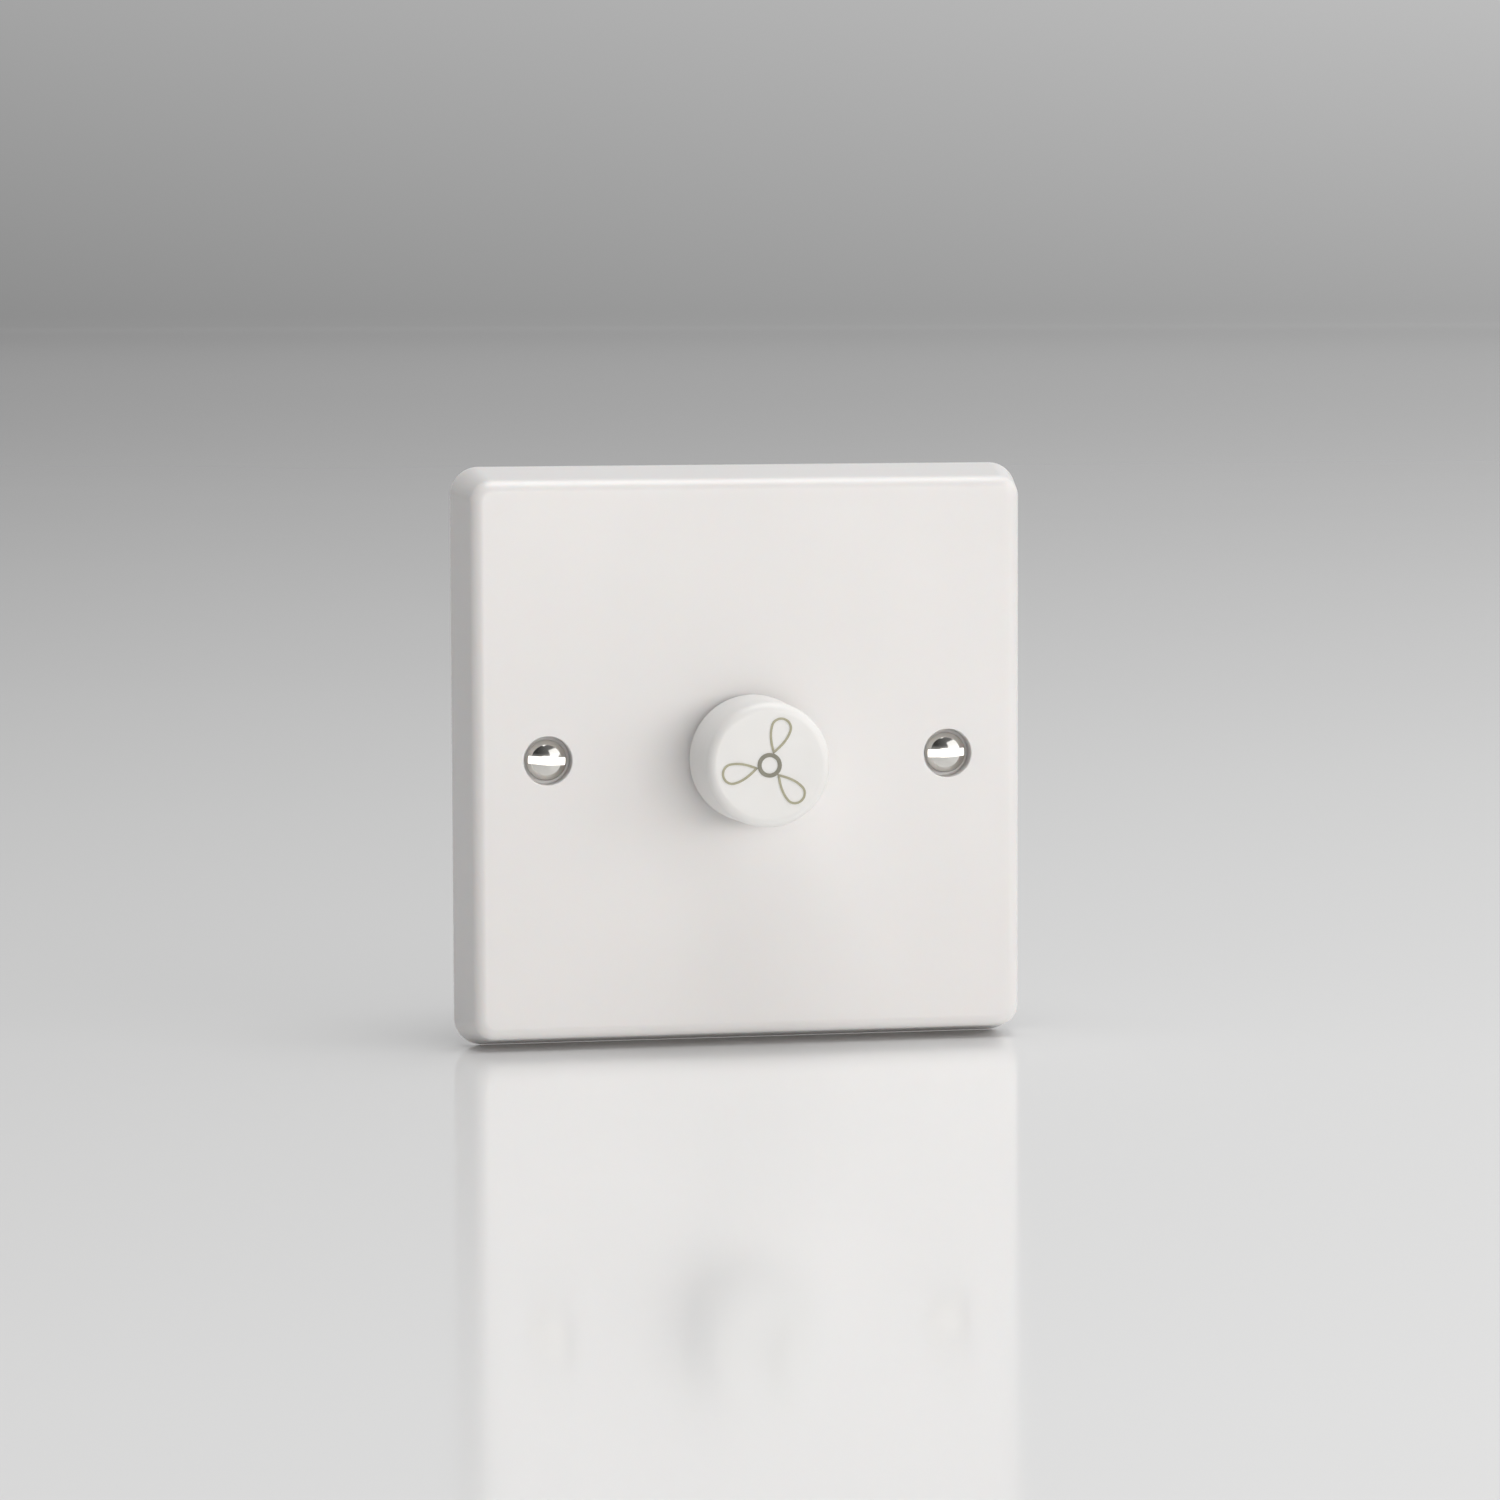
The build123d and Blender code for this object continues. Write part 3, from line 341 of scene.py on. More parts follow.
# %% Rolled, drawn and turned metals
LINE_MM, LINE_HEIGHT_UM = 0.15, 1.2


def brushed_metal(name, colour_a, colour_b, low, high, stretch):
    """Metal with fine lines. stretch is larger across the lines."""
    material, tree, shader, where = start_material(name, colour_a, Metallic=1.0)
    along = add(tree, "ShaderNodeMapping", {"Scale": stretch}, {"Vector": where}).outputs["Vector"]
    colour_drift(tree, shader, along, colour_a, colour_b, 4 * LINE_MM, detail=4.0)
    wandering_roughness(tree, shader, along, low, high, 2 * LINE_MM)
    fine_bump(tree, shader, along, LINE_MM, LINE_HEIGHT_UM)
    return material


brushed = {
    "spring_steel": ("oiled spring steel", "#8C8D90", "#A0A1A3", 0.22, 0.36, (1, 12, 1)),
    "aluminium_sheet": ("rolled aluminium sheet", "#CDCFD0", "#DADBDC", 0.26, 0.4, (14, 1, 1)),
    "turned_spindle": ("turned aluminium", "#CCCDCC", "#D8D8D6", 0.2, 0.32, (1, 14, 1)),
    "tinned_strip": ("tinned brass strip", "#CDCBC4", "#DAD8D2", 0.25, 0.38, (1, 1, 12)),
    "contact_brass": ("rolled brass", "#D9B26A", "#E3C07C", 0.22, 0.34, (12, 1, 1)),
    "enamelled_copper": ("enamelled copper wire", "#B4683A", "#C47A48", 0.16, 0.26, (3, 3, 3)),
}
for slot, look in brushed.items():
    finishes[slot] = brushed_metal(*look)
print("brushed metals:", ", ".join(look[0] for look in brushed.values()))

# %% [markdown]
# The technical plastics inside and behind are moulded too, but nobody polishes those moulds.
# Glass-filled PBT looks dry and slightly mottled, the case has a spark-eroded grain of about
# 0.3 mm, and natural nylon is milky. One function makes them all from their real grain sizes.
# Each row gives the name, two close colours, the roughness range, the grain in mm, its height
# in um, and the refractive index where it isn't 1.55.

# %% Moulded plastics


def moulded_plastic(name, colour_a, colour_b, low, high, grain_mm, height_um, ior=1.55):
    """A plastic with the grain of its mould."""
    material, tree, shader, where = start_material(name, colour_a, IOR=ior)
    colour_drift(tree, shader, where, colour_a, colour_b, 6 * grain_mm, detail=3.0)
    wandering_roughness(tree, shader, where, low, high, 3 * grain_mm)
    fine_bump(tree, shader, where, grain_mm, height_um, detail=3.0)
    return material


moulded = {
    "black_moulding": ("glass-filled PBT black", "#26262A", "#303034", 0.42, 0.55, 0.25, 6.0),
    "case_moulding": ("spark-textured polycarbonate", "#2B2C2E", "#343537", 0.4, 0.52, 0.3, 18.0),
    "natural_nylon": ("natural nylon", "#DED8C6", "#E6E1D2", 0.3, 0.42, 0.4, 4.0, 1.53),
    "phenolic_paper": ("punched paper laminate", "#8A5A34", "#9B6A40", 0.45, 0.6, 0.5, 6.0),
    "carbon_ink": ("screened carbon film", "#1B1B1C", "#272727", 0.3, 0.45, 0.15, 3.0),
    "silicone_pad": ("filled silicone sheet", "#9AA0A3", "#A7ACAE", 0.5, 0.62, 0.3, 5.0),
    "core_paint": ("epoxy-coated iron powder", "#D8C25A", "#E0CC6C", 0.32, 0.46, 0.5, 12.0),
    "film_capacitor": ("potted yellow box", "#E0B43A", "#E7BE4C", 0.28, 0.4, 0.5, 5.0),
    "dipped_capacitor": ("epoxy box red-brown", "#A5402A", "#B04C34", 0.26, 0.4, 0.4, 6.0),
    "resistor_lacquer": ("resistor lacquer", "#CDB28A", "#D8BF98", 0.3, 0.45, 0.3, 5.0),
    "diode_glass": ("orange diode glass", "#B5622E", "#C47038", 0.12, 0.22, 0.4, 2.0),
}
for slot, look in moulded.items():
    finishes[slot] = moulded_plastic(*look)
print("mouldings:", ", ".join(look[0] for look in moulded.values()))

# %% [markdown]
# The circuit board is a glass laminate under a green lacquer. Copper tracks under the lacquer
# show as slightly lighter, raised islands, which a Voronoi pattern of 3 mm cells stands for.

# %% Lacquered board
TRACK_CELL_MM, TRACK_HEIGHT_UM = 3.0, 35
TRACK_FROM, TRACK_TO = 0.06, 0.09


def board_lacquer():
    """Green lacquer over raised copper tracks."""
    material, tree, shader, where = start_material("green lacquered laminate", "#1F5A33", IOR=1.5)
    cells = add(
        tree,
        "ShaderNodeTexVoronoi",
        {"feature": "DISTANCE_TO_EDGE", "distance": "EUCLIDEAN", "Scale": per_mm(TRACK_CELL_MM)},
        {"Vector": where},
    )
    ramp = add(tree, "ShaderNodeValToRGB", links={"Fac": cells.outputs["Distance"]})
    ramp.color_ramp.elements[0].position = TRACK_FROM
    ramp.color_ramp.elements[0].color = hex_colour("#174526")
    ramp.color_ramp.elements[1].position = TRACK_TO
    ramp.color_ramp.elements[1].color = hex_colour("#2C7343")
    tree.links.new(ramp.outputs["Color"], shader.inputs["Base Color"])
    bump = add(
        tree,
        "ShaderNodeBump",
        {"Strength": 0.6, "Distance": TRACK_HEIGHT_UM * UM},
        {"Height": cells.outputs["Distance"]},
    )
    tree.links.new(bump.outputs["Normal"], shader.inputs["Normal"])
    wandering_roughness(tree, shader, where, low=0.22, high=0.36, size_mm=1.2)
    return material


finishes["board_laminate"] = board_lacquer()
print("made", finishes["board_laminate"].name)

# %% [markdown]
# The glass of the fuse tube is clear soda glass. It is thin, so full transmission with a small
# roughness and a faint drawn ripple is enough.

# %% Fuse glass


def soda_glass():
    """Clear glass with a faint ripple."""
    material, tree, shader, where = start_material(
        "drawn soda glass", "#F2F6F4", IOR=1.52, Roughness=0.03
    )
    shader.inputs["Transmission Weight"].default_value = 1.0
    fine_bump(tree, shader, where, size_mm=1.5, height_um=4.0)
    return material


finishes["fuse_glass"] = soda_glass()
print("made", finishes["fuse_glass"].name)

# %% [markdown]
# The record names one material slot per finish, and the finishes above carry the same names. A loop
# dresses every node, so nothing is left in its imported plain colours.

# %% Dressing the nodes
slot_of = {entry["node"]: entry["material_slot"] for entry in record["subparts"]}


def dress(obj, material):
    """Gives an object one material in its first slot."""
    obj.data.materials.clear()
    obj.data.materials.append(material)


for node, obj in frame["nodes"].items():
    dress(obj, finishes[slot_of[node]])
print(len(finishes), "finishes on", len(slot_of), "nodes")

# %% [markdown]
# A piece is first a bmesh, which the operators shape in metres, and becomes an object when it is
# done. Smooth shading rounds what is round, an angle limit keeps real corners sharp, and the
# Weighted Normal modifier lets the large flat faces keep their own direction, so that a soft edge
# doesn't bend the light far into them. Then the piece rides on the body of the node it replaces.

# %% From a bmesh to a finished piece
FACE_AREA_WEIGHT = 100
body_of = {node: body for body, nodes in record["behaviour"]["bodies"].items() for node in nodes}


def as_object(mesh, name):
    """An object at the origin with the bmesh as its mesh."""
    data = bpy.data.meshes.new(name)
    mesh.to_mesh(data)
    mesh.free()
    obj = bpy.data.objects.new(name, data)
    bpy.context.scene.collection.objects.link(obj)
    return obj


def finish_piece(obj, node, sharp_deg=35):
    """Smooth shading, finish and body, in place of a node of the frame."""
    obj.data.shade_smooth()
    obj.data.set_sharp_from_angle(angle=math.radians(sharp_deg))
    shading = obj.modifiers.new("even shading", "WEIGHTED_NORMAL")
    shading.weight = FACE_AREA_WEIGHT
    shading.keep_sharp = True
    dress(obj, finishes[slot_of[node]])
    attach(obj, body_of[node])
    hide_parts(node)
    print(obj.name, len(obj.data.polygons), "faces")
    return obj


print(len(body_of), "nodes know their body")

# %% [markdown]
# Holes, bosses and slots are cut or joined with boolean modifiers. The exact solver keeps clean
# edges where a tool shape meets a wall. The result is read back as a plain mesh straight away,
# and the tool shapes are deleted, so that only the finished piece stays in the file.

# %% Cutting and joining
WELD = 1e-3 * MM


def combine(obj, tools, operation):
    """Applies a boolean with each tool to the object, and removes the tools."""
    for tool in tools:
        step = obj.modifiers.new("step", "BOOLEAN")
        step.object = tool
        step.operation = operation
        step.solver = "EXACT"
    evaluated = obj.evaluated_get(bpy.context.evaluated_depsgraph_get())
    mesh = bmesh.new()
    mesh.from_mesh(bpy.data.meshes.new_from_object(evaluated))
    bmesh.ops.remove_doubles(mesh, verts=mesh.verts, dist=WELD)
    bmesh.ops.dissolve_degenerate(mesh, edges=mesh.edges, dist=WELD)
    obj.modifiers.clear()
    mesh.to_mesh(obj.data)
    mesh.free()
    for tool in tools:
        bpy.data.objects.remove(tool)
    return obj


def box_tool(x, y, z, turn_deg=0.0):
    """A box from three pairs of limits in mm, turned about Y."""
    mesh = bmesh.new()
    size = [abs(pair[1] - pair[0]) * MM for pair in (x, y, z)]
    middle = [sum(pair) / 2 * MM for pair in (x, y, z)]
    turn = Matrix.Rotation(math.radians(turn_deg), 4, "Y")
    place = turn @ Matrix.Translation(middle) @ Matrix.Diagonal((*size, 1))
    bmesh.ops.create_cube(mesh, size=1, matrix=place)
    return as_object(mesh, "box tool")


print("corners closer than", round(WELD / MM, 4), "mm are merged")

# %% [markdown]
# Most round pieces were turned or moulded round an axis, so they are drawn the same way: half of
# the section is a flat outline of a few corners, a vertex bevel rounds the named corners, and
# spin carries the outline once round the Y axis. The edge on the axis goes first, because it
# would leave a needle inside.

# %% Turned shapes
ON_AXIS = 1e-9
WHOLE_TURN_STEPS = 96
ROUND_SEGMENTS = 5


def turned(outline, rounds=(), steps=WHOLE_TURN_STEPS, segments=ROUND_SEGMENTS, at=(0, 0)):
    """A turned solid from corners (radius, depth) in mm. rounds pairs a corner with a width."""
    mesh = bmesh.new()
    corners = [mesh.verts.new((radius * MM, depth * MM, 0)) for radius, depth in outline]
    mesh.faces.new(corners)
    for corner, width in rounds:
        bmesh.ops.bevel(
            mesh,
            geom=[corners[corner]],
            offset=width * MM,
            offset_type="OFFSET",
            affect="VERTICES",
            segments=segments,
            profile=0.5,
            material=-1,
        )
    bmesh.ops.delete(mesh, geom=mesh.faces[:], context="FACES_ONLY")
    on_axis = [edge for edge in mesh.edges if all(abs(v.co.x) < ON_AXIS for v in edge.verts)]
    bmesh.ops.delete(mesh, geom=on_axis, context="EDGES")
    bmesh.ops.spin(
        mesh,
        geom=mesh.verts[:] + mesh.edges[:],
        cent=(0, 0, 0),
        axis=(0, 1, 0),
        angle=TAU,
        steps=steps,
        use_merge=True,
    )
    bmesh.ops.remove_doubles(mesh, verts=mesh.verts, dist=WELD)
    bmesh.ops.recalc_face_normals(mesh, faces=mesh.faces)
    bmesh.ops.translate(mesh, verts=mesh.verts, vec=(at[0] * MM, 0, at[1] * MM))
    return mesh


print("a turned piece has", WHOLE_TURN_STEPS, "steps and", ROUND_SEGMENTS, "segments to a round")

# %% [markdown]
# The plate is a tray: its outline shrinks towards the face, because a moulding needs draft to
# leave its mould, and a 2 mm arc turns the wall into the face. Every level of it is the same
# rounded square, so it is built from rings. A ring is a one-face grid with bevelled corners, and
# bridge_loops joins each ring to the next, from the face round the rim to the hollow's floor.

# %% Rings of the plate
CORNER_STEPS = 14


def square_ring(mesh, half, corner, y):
    """Edges of a rounded square at depth y, sizes in mm."""
    place = Matrix.Translation((0, y * MM, 0)) @ Matrix.Rotation(math.pi / 2, 4, "X")
    grid = bmesh.ops.create_grid(mesh, x_segments=1, y_segments=1, size=half * MM, matrix=place)
    bmesh.ops.bevel(
        mesh,
        geom=grid["verts"],
        offset=corner * MM,
        offset_type="OFFSET",
        affect="VERTICES",
        segments=CORNER_STEPS,
        profile=0.5,
        material=-1,
    )
    mesh.faces.ensure_lookup_table()
    face = mesh.faces[0]
    edges = face.edges[:]
    bmesh.ops.delete(mesh, geom=[face], context="FACES_ONLY")
    return edges


print("a ring has", 4 * (CORNER_STEPS + 1), "corners")

# %% [markdown]
# The outer wall leans by 0.2 mm per millimetre, which is 11.3 degrees, so the arc of the front
# edge covers what is left of a right angle. The corner radius follows the same draft. Sharp rims
# don't exist on a pressed part, so the rim gets a 0.2 mm round on both of its edges. It also
# leans inwards by a fiftieth of a millimetre: bridge_loops can't tell inside from outside
# between two rings in one plane, and would cross them over.

# %% Levels of the plate
DRAFT = 0.2
EDGE_R = 2.0
CORNER_AT_RIM, CORNER_AT_FACE = 4.2, 3.0
HOLLOW_HALF, HOLLOW_CORNER = 40.0, 2.2
FLOOR_HALF, FLOOR_CORNER = 38.8, 1.0
FLOOR_Y = FACE_Y + 2.5
RIM_ROUND = 0.2
RIM_LEAN = 0.02
FLOOR_ROUND = 0.4
LEAST_CORNER = 0.3
EDGE_STEPS, ROUND_STEPS = 10, 3


def outer_level(half, y):
    """One level of the outside, with the corner radius that its depth and inset give."""
    share = y / FACE_Y
    drafted = CORNER_AT_RIM + (CORNER_AT_FACE - CORNER_AT_RIM) * share
    inset = PLATE_HALF + DRAFT * y - half
    return half, drafted - inset, y


lean = math.atan(DRAFT)
arc_y = FACE_Y + EDGE_R
arc_half = PLATE_HALF + DRAFT * arc_y - EDGE_R / math.cos(lean)
levels = []
for i in range(EDGE_STEPS + 1):
    angle = (math.pi / 2 - lean) * i / EDGE_STEPS
    half = arc_half + EDGE_R * math.sin(angle)
    levels.append(outer_level(half, arc_y - EDGE_R * math.cos(angle)))
for i in range(ROUND_STEPS + 1):
    angle = math.pi / 2 * i / ROUND_STEPS
    half = PLATE_HALF - DRAFT * RIM_ROUND - RIM_ROUND * (1 - math.cos(angle))
    levels.append(outer_level(half, -RIM_ROUND * (1 - math.sin(angle))))
for i in range(ROUND_STEPS + 1):
    angle = math.pi / 2 * i / ROUND_STEPS
    out = RIM_ROUND * (1 - math.sin(angle))
    back = -RIM_LEAN - RIM_ROUND * (1 - math.cos(angle))
    levels.append((HOLLOW_HALF + out, HOLLOW_CORNER + out, back))
for i in range(ROUND_STEPS + 1):
    angle = math.pi / 2 * i / ROUND_STEPS
    back = FLOOR_ROUND * (1 - math.sin(angle))
    inset = FLOOR_ROUND * (1 - math.cos(angle))
    corner = max(FLOOR_CORNER - inset, LEAST_CORNER)
    levels.append((FLOOR_HALF - inset, corner, FLOOR_Y + back))
print(len(levels), "levels, the wall leans by", round(math.degrees(lean), 1), "degrees")

# %% [markdown]
# Each level becomes a ring, and each ring is bridged to the next. The first ring is filled to make
# the face and the last one to make the floor of the hollow, so the tray is one closed skin.

# %% The tray
tray = bmesh.new()
rings = [square_ring(tray, *level) for level in levels]
for ring, following in zip(rings, rings[1:]):
    bmesh.ops.bridge_loops(tray, edges=ring + following)
for ring in (rings[0], rings[-1]):
    bmesh.ops.edgeloop_fill(tray, edges=ring)
bmesh.ops.recalc_face_normals(tray, faces=tray.faces)
print("tray with", len(rings), "levels and", len(tray.faces), "faces")

# %% [markdown]
# Behind each fixing hole stands a boss, tied to the wall by a rib, so that the screw can't bend
# the face. The counterbore is cut by one turned tool, whose outline flares at the top: the lip of
# the hole comes out soft without a bevel on the finished plate. The flare crosses the face at an
# angle, because a tool with an edge exactly in a face confuses the solver.

# %% Bosses and holes of the plate
FIXING_X = 30.15
BOSS_R, BOSS_END, BOSS_ROUND = 5.2, -0.5, 0.3
RIB_HALF, RIB_END = 0.7, -2.5
SUNK_R, SUNK_Y, SUNK_ROUND = 3.6, FACE_Y + 2.6, 0.15
HOLE_R = 2.1
BUSH_HOLE_R = 3.6
LIP = 0.1
INSIDE = 0.4
OUTSIDE = 1.0

plate = as_object(tray, "moulded_plate")
bosses = []
for side in (-1, 1):
    x = side * FIXING_X
    boss = turned(
        [(0, FLOOR_Y - INSIDE), (BOSS_R, FLOOR_Y - INSIDE), (BOSS_R, BOSS_END), (0, BOSS_END)],
        rounds=[(2, BOSS_ROUND)],
        steps=72,
        at=(x, 0),
    )
    bosses.append(as_object(boss, "boss"))
    rib_x = (x + side * (BOSS_R - INSIDE), side * (HOLLOW_HALF + INSIDE))
    bosses.append(box_tool(rib_x, (FLOOR_Y - INSIDE, RIB_END), (-RIB_HALF, RIB_HALF)))
combine(plate, bosses, "UNION")

holes = []
for side in (-1, 1):
    outline = [
        (0, FACE_Y - OUTSIDE),
        (SUNK_R + LIP + OUTSIDE, FACE_Y - OUTSIDE),
        (SUNK_R, FACE_Y + LIP),
        (SUNK_R, SUNK_Y),
        (HOLE_R, SUNK_Y),
        (HOLE_R, OUTSIDE),
        (0, OUTSIDE),
    ]
    rounds = [(2, LIP), (3, SUNK_ROUND)]
    hole = turned(outline, rounds, steps=120, at=(side * FIXING_X, 0))
    holes.append(as_object(hole, "hole"))
before, behind = FACE_Y - OUTSIDE, FLOOR_Y + OUTSIDE
outline = [(0, before), (BUSH_HOLE_R, before), (BUSH_HOLE_R, behind), (0, behind)]
holes.append(as_object(turned(outline), "hole"))
combine(plate, holes, "DIFFERENCE")
finish_piece(plate, "front_plate")

# %% [markdown]
# The knob is a cap: a skirt with a soft front edge, a boss that holds the spindle, and ribs
# between them. The whole cap is one turned outline of eight corners. The ribs are joined to it,
# and the bore is cut last, with a flat side that carries the turning.

# %% The knob
KNOB_FACE_R = 9.15
KNOB_EDGE, SKIRT_ROUND, INNER_ROUND = 1.4, 0.2, 0.3
SKIRT_IN_R = 8.0
CAP_Y = KNOB_FACE_Y + 2.0
KNOB_BOSS_R, KNOB_BOSS_END = 4.8, -15.6
KNOB_RIB_HALF, KNOB_RIB_END = 0.5, -17.0
KNOB_RIB_TURNS = (45, 135)
BORE_R, BORE_FLAT, BORE_Y = 3.025, 1.9, -22.8
FLAT_REACH = 5

outline = [
    (0, KNOB_FACE_Y),
    (KNOB_FACE_R, KNOB_FACE_Y),
    (KNOB_R, KNOB_REAR_Y),
    (SKIRT_IN_R, KNOB_REAR_Y),
    (SKIRT_IN_R, CAP_Y),
    (KNOB_BOSS_R, CAP_Y),
    (KNOB_BOSS_R, KNOB_BOSS_END),
    (0, KNOB_BOSS_END),
]
rounds = [
    (1, KNOB_EDGE),
    (2, SKIRT_ROUND),
    (3, SKIRT_ROUND),
    (4, INNER_ROUND),
    (5, INNER_ROUND),
    (6, SKIRT_ROUND),
]
cap = as_object(turned(outline, rounds, steps=180, segments=10), "moulded_knob")
reach = SKIRT_IN_R + INSIDE
rib_x, rib_y = (-reach, reach), (CAP_Y - INSIDE, KNOB_RIB_END)
rib_z = (-KNOB_RIB_HALF, KNOB_RIB_HALF)
ribs = [box_tool(rib_x, rib_y, rib_z, turn) for turn in KNOB_RIB_TURNS]
combine(cap, ribs, "UNION")
bore = turned([(0, BORE_Y), (BORE_R, BORE_Y), (BORE_R, -OUTSIDE), (0, -OUTSIDE)], steps=64)
bore = as_object(bore, "bore")
flat = box_tool((-FLAT_REACH, FLAT_REACH), (BORE_Y - OUTSIDE, 0), (BORE_FLAT, FLAT_REACH))
combine(bore, [flat], "DIFFERENCE")
combine(cap, [bore], "DIFFERENCE")
finish_piece(cap, "knob")

# %% [markdown]
# A screw thread is one V that climbs as it goes round. Spin does that when it is given a small
# step along the axis: the outline is one pitch long, so each turn ends where the next begins and
# merging the doubles closes the surface. Two cuts square to the axis trim the ends.

# %% Threads
THREAD_OUTLINE = ((0.0, 1.0), (0.08, 1.0), (0.46, 0.0), (0.58, 0.0), (0.96, 1.0), (1.0, 1.0))
TURNS_BEFORE, SPARE_TURNS = 1.5, 3
THREAD_WELD = 2e-3 * MM
ON_THE_CUT = 1e-4 * MM
LEVEL_SLACK = 1e-3


def threaded(radius, depth, pitch, start, end, point=0.0, steps=32):
    """A closed threaded rod along Y, all in mm. point narrows the far end."""
    mesh = bmesh.new()
    first = start - TURNS_BEFORE * pitch
    line = [
        mesh.verts.new(((radius - depth * sunk) * MM, (first + share * pitch) * MM, 0))
        for share, sunk in THREAD_OUTLINE
    ]
    for low, high in zip(line, line[1:]):
        mesh.edges.new((low, high))
    turns = math.ceil((end - start) / pitch) + SPARE_TURNS
    bmesh.ops.spin(
        mesh,
        geom=mesh.verts[:] + mesh.edges[:],
        cent=(0, 0, 0),
        axis=(0, 1, 0),
        dvec=(0, pitch / steps * MM, 0),
        angle=TAU * turns,
        steps=steps * turns,
    )
    bmesh.ops.remove_doubles(mesh, verts=mesh.verts, dist=THREAD_WELD)
    for level, side in ((start, 1), (end, -1)):
        bmesh.ops.bisect_plane(
            mesh,
            geom=mesh.verts[:] + mesh.edges[:] + mesh.faces[:],
            dist=ON_THE_CUT,
            plane_co=(0, level * MM, 0),
            plane_no=(0, side, 0),
            clear_inner=True,
        )
        rim = [
            edge
            for edge in mesh.edges
            if edge.is_boundary
            and all(abs(v.co.y / MM - level) < LEVEL_SLACK for v in edge.verts)
        ]
        bmesh.ops.edgeloop_fill(mesh, edges=rim)
    for vert in mesh.verts:
        beyond = vert.co.y / MM - (end - point)
        reach = math.hypot(vert.co.x, vert.co.z) / MM
        if point and beyond > 0 and reach > radius - beyond:
            vert.co.x *= (radius - beyond) / reach
            vert.co.z *= (radius - beyond) / reach
    bmesh.ops.recalc_face_normals(mesh, faces=mesh.faces)
    return mesh


print("the thread's outline has", len(THREAD_OUTLINE), "corners over one pitch")

# %% [markdown]
# The plate's two screws have a low dome with a sawn slot and are nickel plated. The dome is an
# arc of a larger ball, so its outline is worked out from the ball's radius. The slot is sawn by a
# box, which is turned a few degrees as the screwdriver left it. The thread begins at the wall.

# %% Sizes of the fixing screws
HEAD_R = 3.0
DOME_H, DOME_STEPS = 1.2, 14
SEAT_Y, SEAT_ROUND = SCREW_TOP + 2.5, 0.12
SHANK_R = 1.55
THREAD_R, THREAD_PITCH, THREAD_DEPTH = 1.75, 0.6, 0.34
POINT = 0.7
SLOT_HALF, SLOT_DEPTH, SLOT_REACH = 0.575, 1.0, 4
SLOT_TURNS = {-1: 3.2, 1: -1.7}
SAWN_EDGE, SAWN_ANGLE = 0.07, math.radians(40)

ball_r = (HEAD_R**2 + DOME_H**2) / (2 * DOME_H)
widest = math.asin(HEAD_R / ball_r)
dome = []
for i in range(DOME_STEPS + 1):
    angle = widest * i / DOME_STEPS
    dome.append((ball_r * math.sin(angle), SCREW_TOP + ball_r * (1 - math.cos(angle))))
print("dome of", len(dome), "corners on a ball of", round(ball_r, 2), "mm radius")

# %% [markdown]
# Each head is turned and sawn, and gets a narrow bevel along the slot, because a bare edge has no
# width to catch the light. The thread is a second skin in the same mesh. It starts inside the end
# of the smooth shank, so no gap shows between the two.

# %% The two screws
screws = bmesh.new()
for side in (-1, 1):
    outline = dome + [(HEAD_R, SEAT_Y), (SHANK_R, SEAT_Y), (SHANK_R, INSIDE), (0, INSIDE)]
    rounds = [(len(dome) - 1, SEAT_ROUND), (len(dome), SEAT_ROUND)]
    head = as_object(turned(outline, rounds, steps=128), "head")
    slot_x, slot_z = (-SLOT_REACH, SLOT_REACH), (-SLOT_HALF, SLOT_HALF)
    slot_y = (SCREW_TOP - OUTSIDE, SCREW_TOP + SLOT_DEPTH)
    combine(head, [box_tool(slot_x, slot_y, slot_z, SLOT_TURNS[side])], "DIFFERENCE")
    mesh = bmesh.new()
    mesh.from_mesh(head.data)
    sawn = [
        edge
        for edge in mesh.edges
        if not edge.is_boundary
        and edge.calc_face_angle(0) > SAWN_ANGLE
        and all(v.co.y < (SCREW_TOP + DOME_H) * MM for v in edge.verts)
    ]
    bmesh.ops.bevel(
        mesh,
        geom=sawn,
        offset=SAWN_EDGE * MM,
        offset_type="OFFSET",
        affect="EDGES",
        segments=2,
        profile=0.5,
        clamp_overlap=True,
        material=-1,
    )
    thread = threaded(THREAD_R, THREAD_DEPTH, THREAD_PITCH, 0.0, SCREW_END, point=POINT)
    thread_data = bpy.data.meshes.new("thread")
    thread.to_mesh(thread_data)
    thread.free()
    mesh.from_mesh(thread_data)
    bmesh.ops.translate(mesh, verts=mesh.verts, vec=(side * FIXING_X * MM, 0, 0))
    mesh.to_mesh(head.data)
    mesh.free()
    screws.from_mesh(head.data)
    bpy.data.objects.remove(head)
fixing_screws = as_object(screws, "slotted_screws")
finish_piece(fixing_screws, "fixing_screws", sharp_deg=30)

# %% [markdown]
# The other pieces keep the exact form of their solids and get broken edges, as a mould or a punch
# leaves them. The widths are real ones: 0.3 mm on the case, 0.05 mm on thin strip. Wires, glass
# and printed films are round or too thin for an edge, and only get smooth shading.

